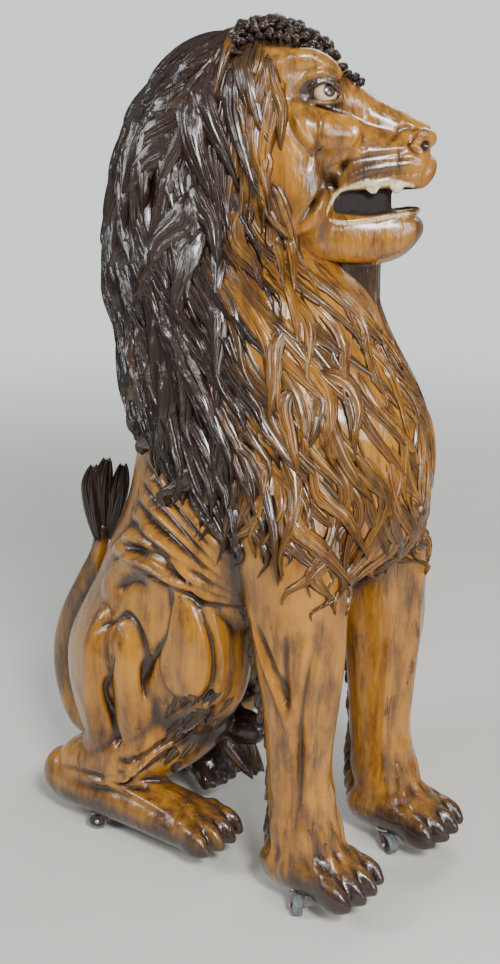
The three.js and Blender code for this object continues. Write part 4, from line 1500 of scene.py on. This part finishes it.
    def build(self) -> list[bpy.types.Object]:
        """Lays all the locks.

        Returns:
            The pieces.
        """
        chance = random.Random(11)
        mane = Heap()
        self.tiers(mane, chance)
        main = Heap()
        self.beside_face(main, chance)
        for lock in self.main_locks:
            path, normals = [], []
            for spot in lock:
                place, normal, _, _ = self.under.find_nearest(Vector(spot))
                path.append(place + normal * 7)
                normals.append(normal)
            _, width, height = self.shape(math.atan2(path[1].y, path[1].x + 190))
            path.append(path[-1] + (path[-1] - path[-2]) * 0.6 - normals[-1] * 6)
            normals.append(normals[-1])
            lay_lock(main, path, normals, width * chance.uniform(0.9, 1.15), height * 1.05, chance.uniform(0, 5),
                     self.stain(path[1], chance), chance.uniform(0, 0.6))
        self.dome(main, chance)
        self.fringes(main, chance)
        self.flank(main, chance)
        self.tufts(main, chance)
        return [mane.piece("mane_locks"), main.piece("main_locks")]


@dataclass
class Crown:
    """Short hooked curls in close rows over the crown and down between the brows."""

    under: BVHTree

    def build(self) -> bpy.types.Object:
        """Sets the curls.

        Returns:
            The piece.
        """
        chance = random.Random(5)
        heap = Heap()
        spots = [(x + chance.uniform(-4, 4), y + chance.uniform(-4, 4), chance.uniform(0.95, 1.25))
                 for x in range(-104, 40, 13) for y in range(-78, 79, 12)
                 if abs(y) < np.interp(x, [-100, -20, 44], [80, 72, 44])]
        spots += [(x, y + chance.uniform(-3, 3), chance.uniform(0.7, 0.95)) for x in range(40, 106, 11)
                  for y in (-16, -5, 6, 16)]
        for x, y, size in spots:
            start = HEAD_FRAME @ Vector((x, y, 400))
            place, normal, _, _ = self.under.ray_cast(start, Vector((0, 0, -1)))
            if place is None:
                continue
            ahead = HEAD_FRAME.to_3x3() @ Vector((1, y / 70 + chance.uniform(-0.7, 0.7), 0))
            ahead = (ahead - normal * ahead.dot(normal)).normalized()
            path = [place + normal * up * size + ahead * along * size
                    for up, along in ((-6, -8), (8, -8), (17, -1), (15, 8), (6, 12))]
            out = [(normal + ahead * lean).normalized() for lean in (-0.9, -0.6, 0.1, 0.8, 1.3)]
            lay_lock(heap, path, out, 7 * size, 4.5 * size, 0, chance.uniform(0.5, 0.9),
                     chance.uniform(0, 1), (12, 10))
        return heap.piece("crown_curls")


def lathe(name: str, profile: Sequence[tuple[float, float]], frame_of: Matrix,
          steps: int = 48) -> bpy.types.Object:
    """Spins a profile about the wheel's axis.

    Args:
        name: The piece's name.
        profile: Distances from the axis and places along it, in millimetres.
        frame_of: The frame whose Y axis is the wheel's axis, in drawing millimetres.
        steps: Faces round the piece.

    Returns:
        The piece.
    """
    mesh = bmesh.new()
    bmesh.ops.create_vert(mesh, co=(profile[0][0], profile[0][1], 0))
    first = mesh.verts[:]
    for radius, along in profile[1:]:
        grown = bmesh.ops.extrude_vert_indiv(mesh, verts=first)["verts"]
        grown[0].co = (radius, along, 0)
        first = grown
    bmesh.ops.spin(mesh, geom=mesh.verts[:] + mesh.edges[:], cent=(0, 0, 0), axis=(0, 1, 0), angle=math.tau,
                   steps=steps, use_merge=True)
    bmesh.ops.remove_doubles(mesh, verts=mesh.verts, dist=0.01)
    bmesh.ops.recalc_face_normals(mesh, faces=mesh.faces)
    for vert in mesh.verts:
        vert.co = (frame_of @ vert.co) * MILLIMETRE + SHIFT
    return piece_of(mesh, name)


def mirrored(half: Sequence[tuple[float, float]], closed: bool) -> list[tuple[float, float]]:
    """Completes a profile whose two ends match.

    Args:
        half: The profile's points on one side of the wheel's middle.
        closed: Whether it comes back to its first point.

    Returns:
        The whole profile.
    """
    whole = [*half, *((radius, -along) for radius, along in reversed(half))]
    return [*whole, half[0]] if closed else whole


@dataclass
class CasterLooks:
    """The fine parts of one caster: tyre, hub and axle pin; fork and plate keep the CAD's shape."""

    caster: Caster
    finishes: dict[str, bpy.types.Material]
    trail: float = 20
    wheel_radius: float = 20
    tyre: tuple[tuple[float, float], ...] = (
        (15, -9.5), (17.6, -9.5), (18.9, -8.9), (19.7, -7.6), (20, -5), (20, -0.8), (19.7, -0.3))
    core: tuple[tuple[float, float], ...] = (
        (3.3, -8.6), (5.4, -8.6), (5.8, -7.4), (11.8, -7.4), (12.4, -8.4), (14.2, -8.4), (14.7, -7.6))
    pin: tuple[tuple[float, float], ...] = (
        (0, -16.0), (1.6, -15.8), (3.2, -15.2), (4.2, -14.3), (4.5, -13.8), (3, -13.8))

    def build(self) -> None:
        """Makes the new pieces and gives the kept nodes their finish."""
        name = self.caster.name.lower()
        x, y, heading = self.caster.value
        turned = Matrix.Translation((x, y, 0)) @ Matrix.Rotation(math.radians(heading), 4, "Z")
        wheel = turned @ Matrix.Translation((self.trail, 0, self.wheel_radius))
        tyre = lathe(f"tyre_{name}", mirrored(self.tyre, True), wheel, 56)
        core = lathe(f"core_{name}", mirrored(self.core, True), wheel)
        pin = lathe(f"pin_{name}", mirrored(self.pin, False), wheel, 24)
        for piece, finish, body, slot, node in (
                (tyre, "rubber", f"wheel_{name}", "grey_rubber", "tread"),
                (core, "plastic", f"wheel_{name}", "black_plastic", "hub"),
                (pin, "zinc", f"fork_{name}", "zinc_steel", "axle")):
            dress(piece, self.finishes[finish], body)
            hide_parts(f"{node}_{name}")
        for node, finish in (("fork", "dark"), ("plate", "zinc")):
            for kept in bpy.data.objects[f"{node}_{name}"].material_slots:
                kept.link = "OBJECT"
                kept.material = self.finishes[finish]


@dataclass
class Studio:
    """Camera, lights and backdrop."""

    camera_place: Row = (1242.25, -1962.22, 1450.46)
    heading: float = -36.491
    pitch: float = -16.387
    focal: float = 1350
    frame_height: float = 964

    def camera(self) -> None:
        """Sets the camera at the photograph's viewing angle."""
        data = bpy.data.cameras.new("camera")
        data.lens = self.focal / self.frame_height * data.sensor_width
        camera = bpy.data.objects.new("camera", data)
        place = Vector(self.camera_place) * MILLIMETRE + SHIFT
        camera.matrix_world = Matrix.Translation(place) @ Matrix.Rotation(-math.radians(self.heading), 4, "Z") \
            @ Matrix.Rotation(math.radians(90 + self.pitch), 4, "X")
        bpy.context.scene.collection.objects.link(camera)
        bpy.context.scene.camera = camera

    def lamp(self, name: str, place: Row, aim: Row, size: float, power: float,
             colour: tuple[float, float, float] = (1, 1, 1)) -> None:
        """Adds a soft area light.

        Args:
            name: Its name.
            place: Where it hangs, in metres.
            aim: The place that it lights.
            size: Its edge length.
            power: Its power in watts.
            colour: Its colour.
        """
        data = bpy.data.lights.new(name, "AREA")
        data.size = size
        data.energy = power
        data.color = colour
        lamp = bpy.data.objects.new(name, data)
        turn = (Vector(aim) - Vector(place)).to_track_quat("-Z", "Y").to_matrix().to_4x4()
        lamp.matrix_world = Matrix.Translation(Vector(place)) @ turn
        bpy.context.scene.collection.objects.link(lamp)

    def backdrop(self) -> None:
        """Makes the pale floor."""
        mesh = bmesh.new()
        bmesh.ops.create_grid(mesh, x_segments=1, y_segments=1, size=12)
        floor = piece_of(mesh, "floor")
        book = NodeBook("pale_floor")
        tone = book.noise((1, 1, 1), 1.2, 3)
        book.set(Base_Color=book.mix(tone, (0.62, 0.60, 0.55), (0.70, 0.68, 0.63)), Roughness=0.7)
        spread = book.node("ShaderNodeVectorMath", {"operation": "LENGTH"}, {0: book.place()})
        book.set(Alpha=1 - Value(book, spread.outputs["Value"]).between(1.6, 5.5))
        floor.data.materials.append(book.material)

    def build(self) -> None:
        """Sets up the whole studio."""
        self.camera()
        self.backdrop()
        self.lamp("key", (2.9, -2.3, 3.1), (0, 0, 0.9), 0.8, 205)
        self.lamp("fill", (3.3, -0.9, 1.5), (0, 0, 0.8), 1.1, 52)
        self.lamp("window", (-2.2, -2.8, 2.6), (0, 0, 0.9), 1.2, 90, (0.93, 0.97, 1.0))
        self.lamp("back", (-0.6, 3.0, 3.4), (0, 0, 0.8), 2.2, 70)
        world = bpy.data.worlds.new("studio_air")
        world.use_nodes = True
        nodes, links = world.node_tree.nodes, world.node_tree.links
        air = nodes["Background"]
        air.inputs["Color"].default_value = (0.90, 0.97, 1.0, 1)
        air.inputs["Strength"].default_value = 0.27
        wall = nodes.new("ShaderNodeBackground")
        wall.inputs["Color"].default_value = (0.96, 1.0, 1.0, 1)
        wall.inputs["Strength"].default_value = 1.12
        seen = nodes.new("ShaderNodeLightPath")
        blend = nodes.new("ShaderNodeMixShader")
        links.new(seen.outputs["Is Camera Ray"], blend.inputs[0])
        links.new(air.outputs[0], blend.inputs[1])
        links.new(wall.outputs[0], blend.inputs[2])
        links.new(blend.outputs[0], nodes["World Output"].inputs[0])
        bpy.context.scene.world = world


def under_tree(*skins: Skin) -> BVHTree:
    """Makes one search tree of several skins.

    Args:
        skins: The skins, in drawing millimetres.

    Returns:
        The tree.
    """
    points: list[list[float]] = []
    faces: list[list[int]] = []
    for skin in skins:
        start = len(points)
        points += skin.points.tolist()
        corners = np.empty(len(skin.piece.data.loops), dtype=np.int64)
        skin.piece.data.loops.foreach_get("vertex_index", corners)
        faces += (corners.reshape(-1, 4) + start).tolist()
    return BVHTree.FromPolygons(points, faces)


def dress(piece: bpy.types.Object, material: bpy.types.Material, body: str) -> None:
    """Gives a piece its finish and the body it rides on."""
    piece.data.materials.clear()
    piece.data.materials.append(material)
    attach(piece, body)
    log.info("%s: %d faces on %s", piece.name, len(piece.data.polygons), body)


def caster_finishes() -> dict[str, bpy.types.Material]:
    """Makes the finishes of the casters.

    Returns:
        Each finish by its short name.
    """
    finishes = {
        "rubber": PlainFinish("grey_rubber", (0.13, 0.15, 0.145), (0.07, 0.075, 0.075), 0.6),
        "plastic": PlainFinish("black_plastic", (0.022, 0.018, 0.022), (0.05, 0.03, 0.03), 0.4),
        "zinc": PlainFinish("zinc_steel", (0.62, 0.60, 0.58), (0.35, 0.30, 0.26), 0.35, metallic=1.0),
        "dark": PlainFinish("dark_steel", (0.055, 0.028, 0.024), (0.12, 0.06, 0.045), 0.45, metallic=0.6)}
    return {name: finish.build() for name, finish in finishes.items()}


def main() -> None:
    """Builds the lion, its casters' finishes and the studio."""
    logging.basicConfig(level=logging.INFO, format="%(name)s: %(message)s")
    Studio().build()
    body = Body()
    body_skin = body.build()
    head_skin = Head().build()
    under = under_tree(body_skin, head_skin)
    manes = Mane(body.trunk, under).build()
    crown = Crown(under_tree(head_skin)).build()
    wood = VarnishedWood().build()
    locks = VarnishedWood(name="varnished_locks", tooled=0.004, strands=True).build()
    eye = PaintedEye().build()
    carving = [body_skin.finish(), head_skin.finish()]
    for piece in carving:
        dress(piece, wood, CARVING_BODY)
    for piece in (*manes, crown):
        dress(piece, locks, CARVING_BODY)
        carving.append(piece)
    for side in Side:
        eyeball = Eye().build(side)
        dress(eyeball, eye, CARVING_BODY)
        carving.append(eyeball)
    for piece in carving:
        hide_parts("lion")
    finishes = caster_finishes()
    for caster in Caster:
        CasterLooks(caster, finishes).build()
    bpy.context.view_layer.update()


if __name__ == "__main__":
    main()
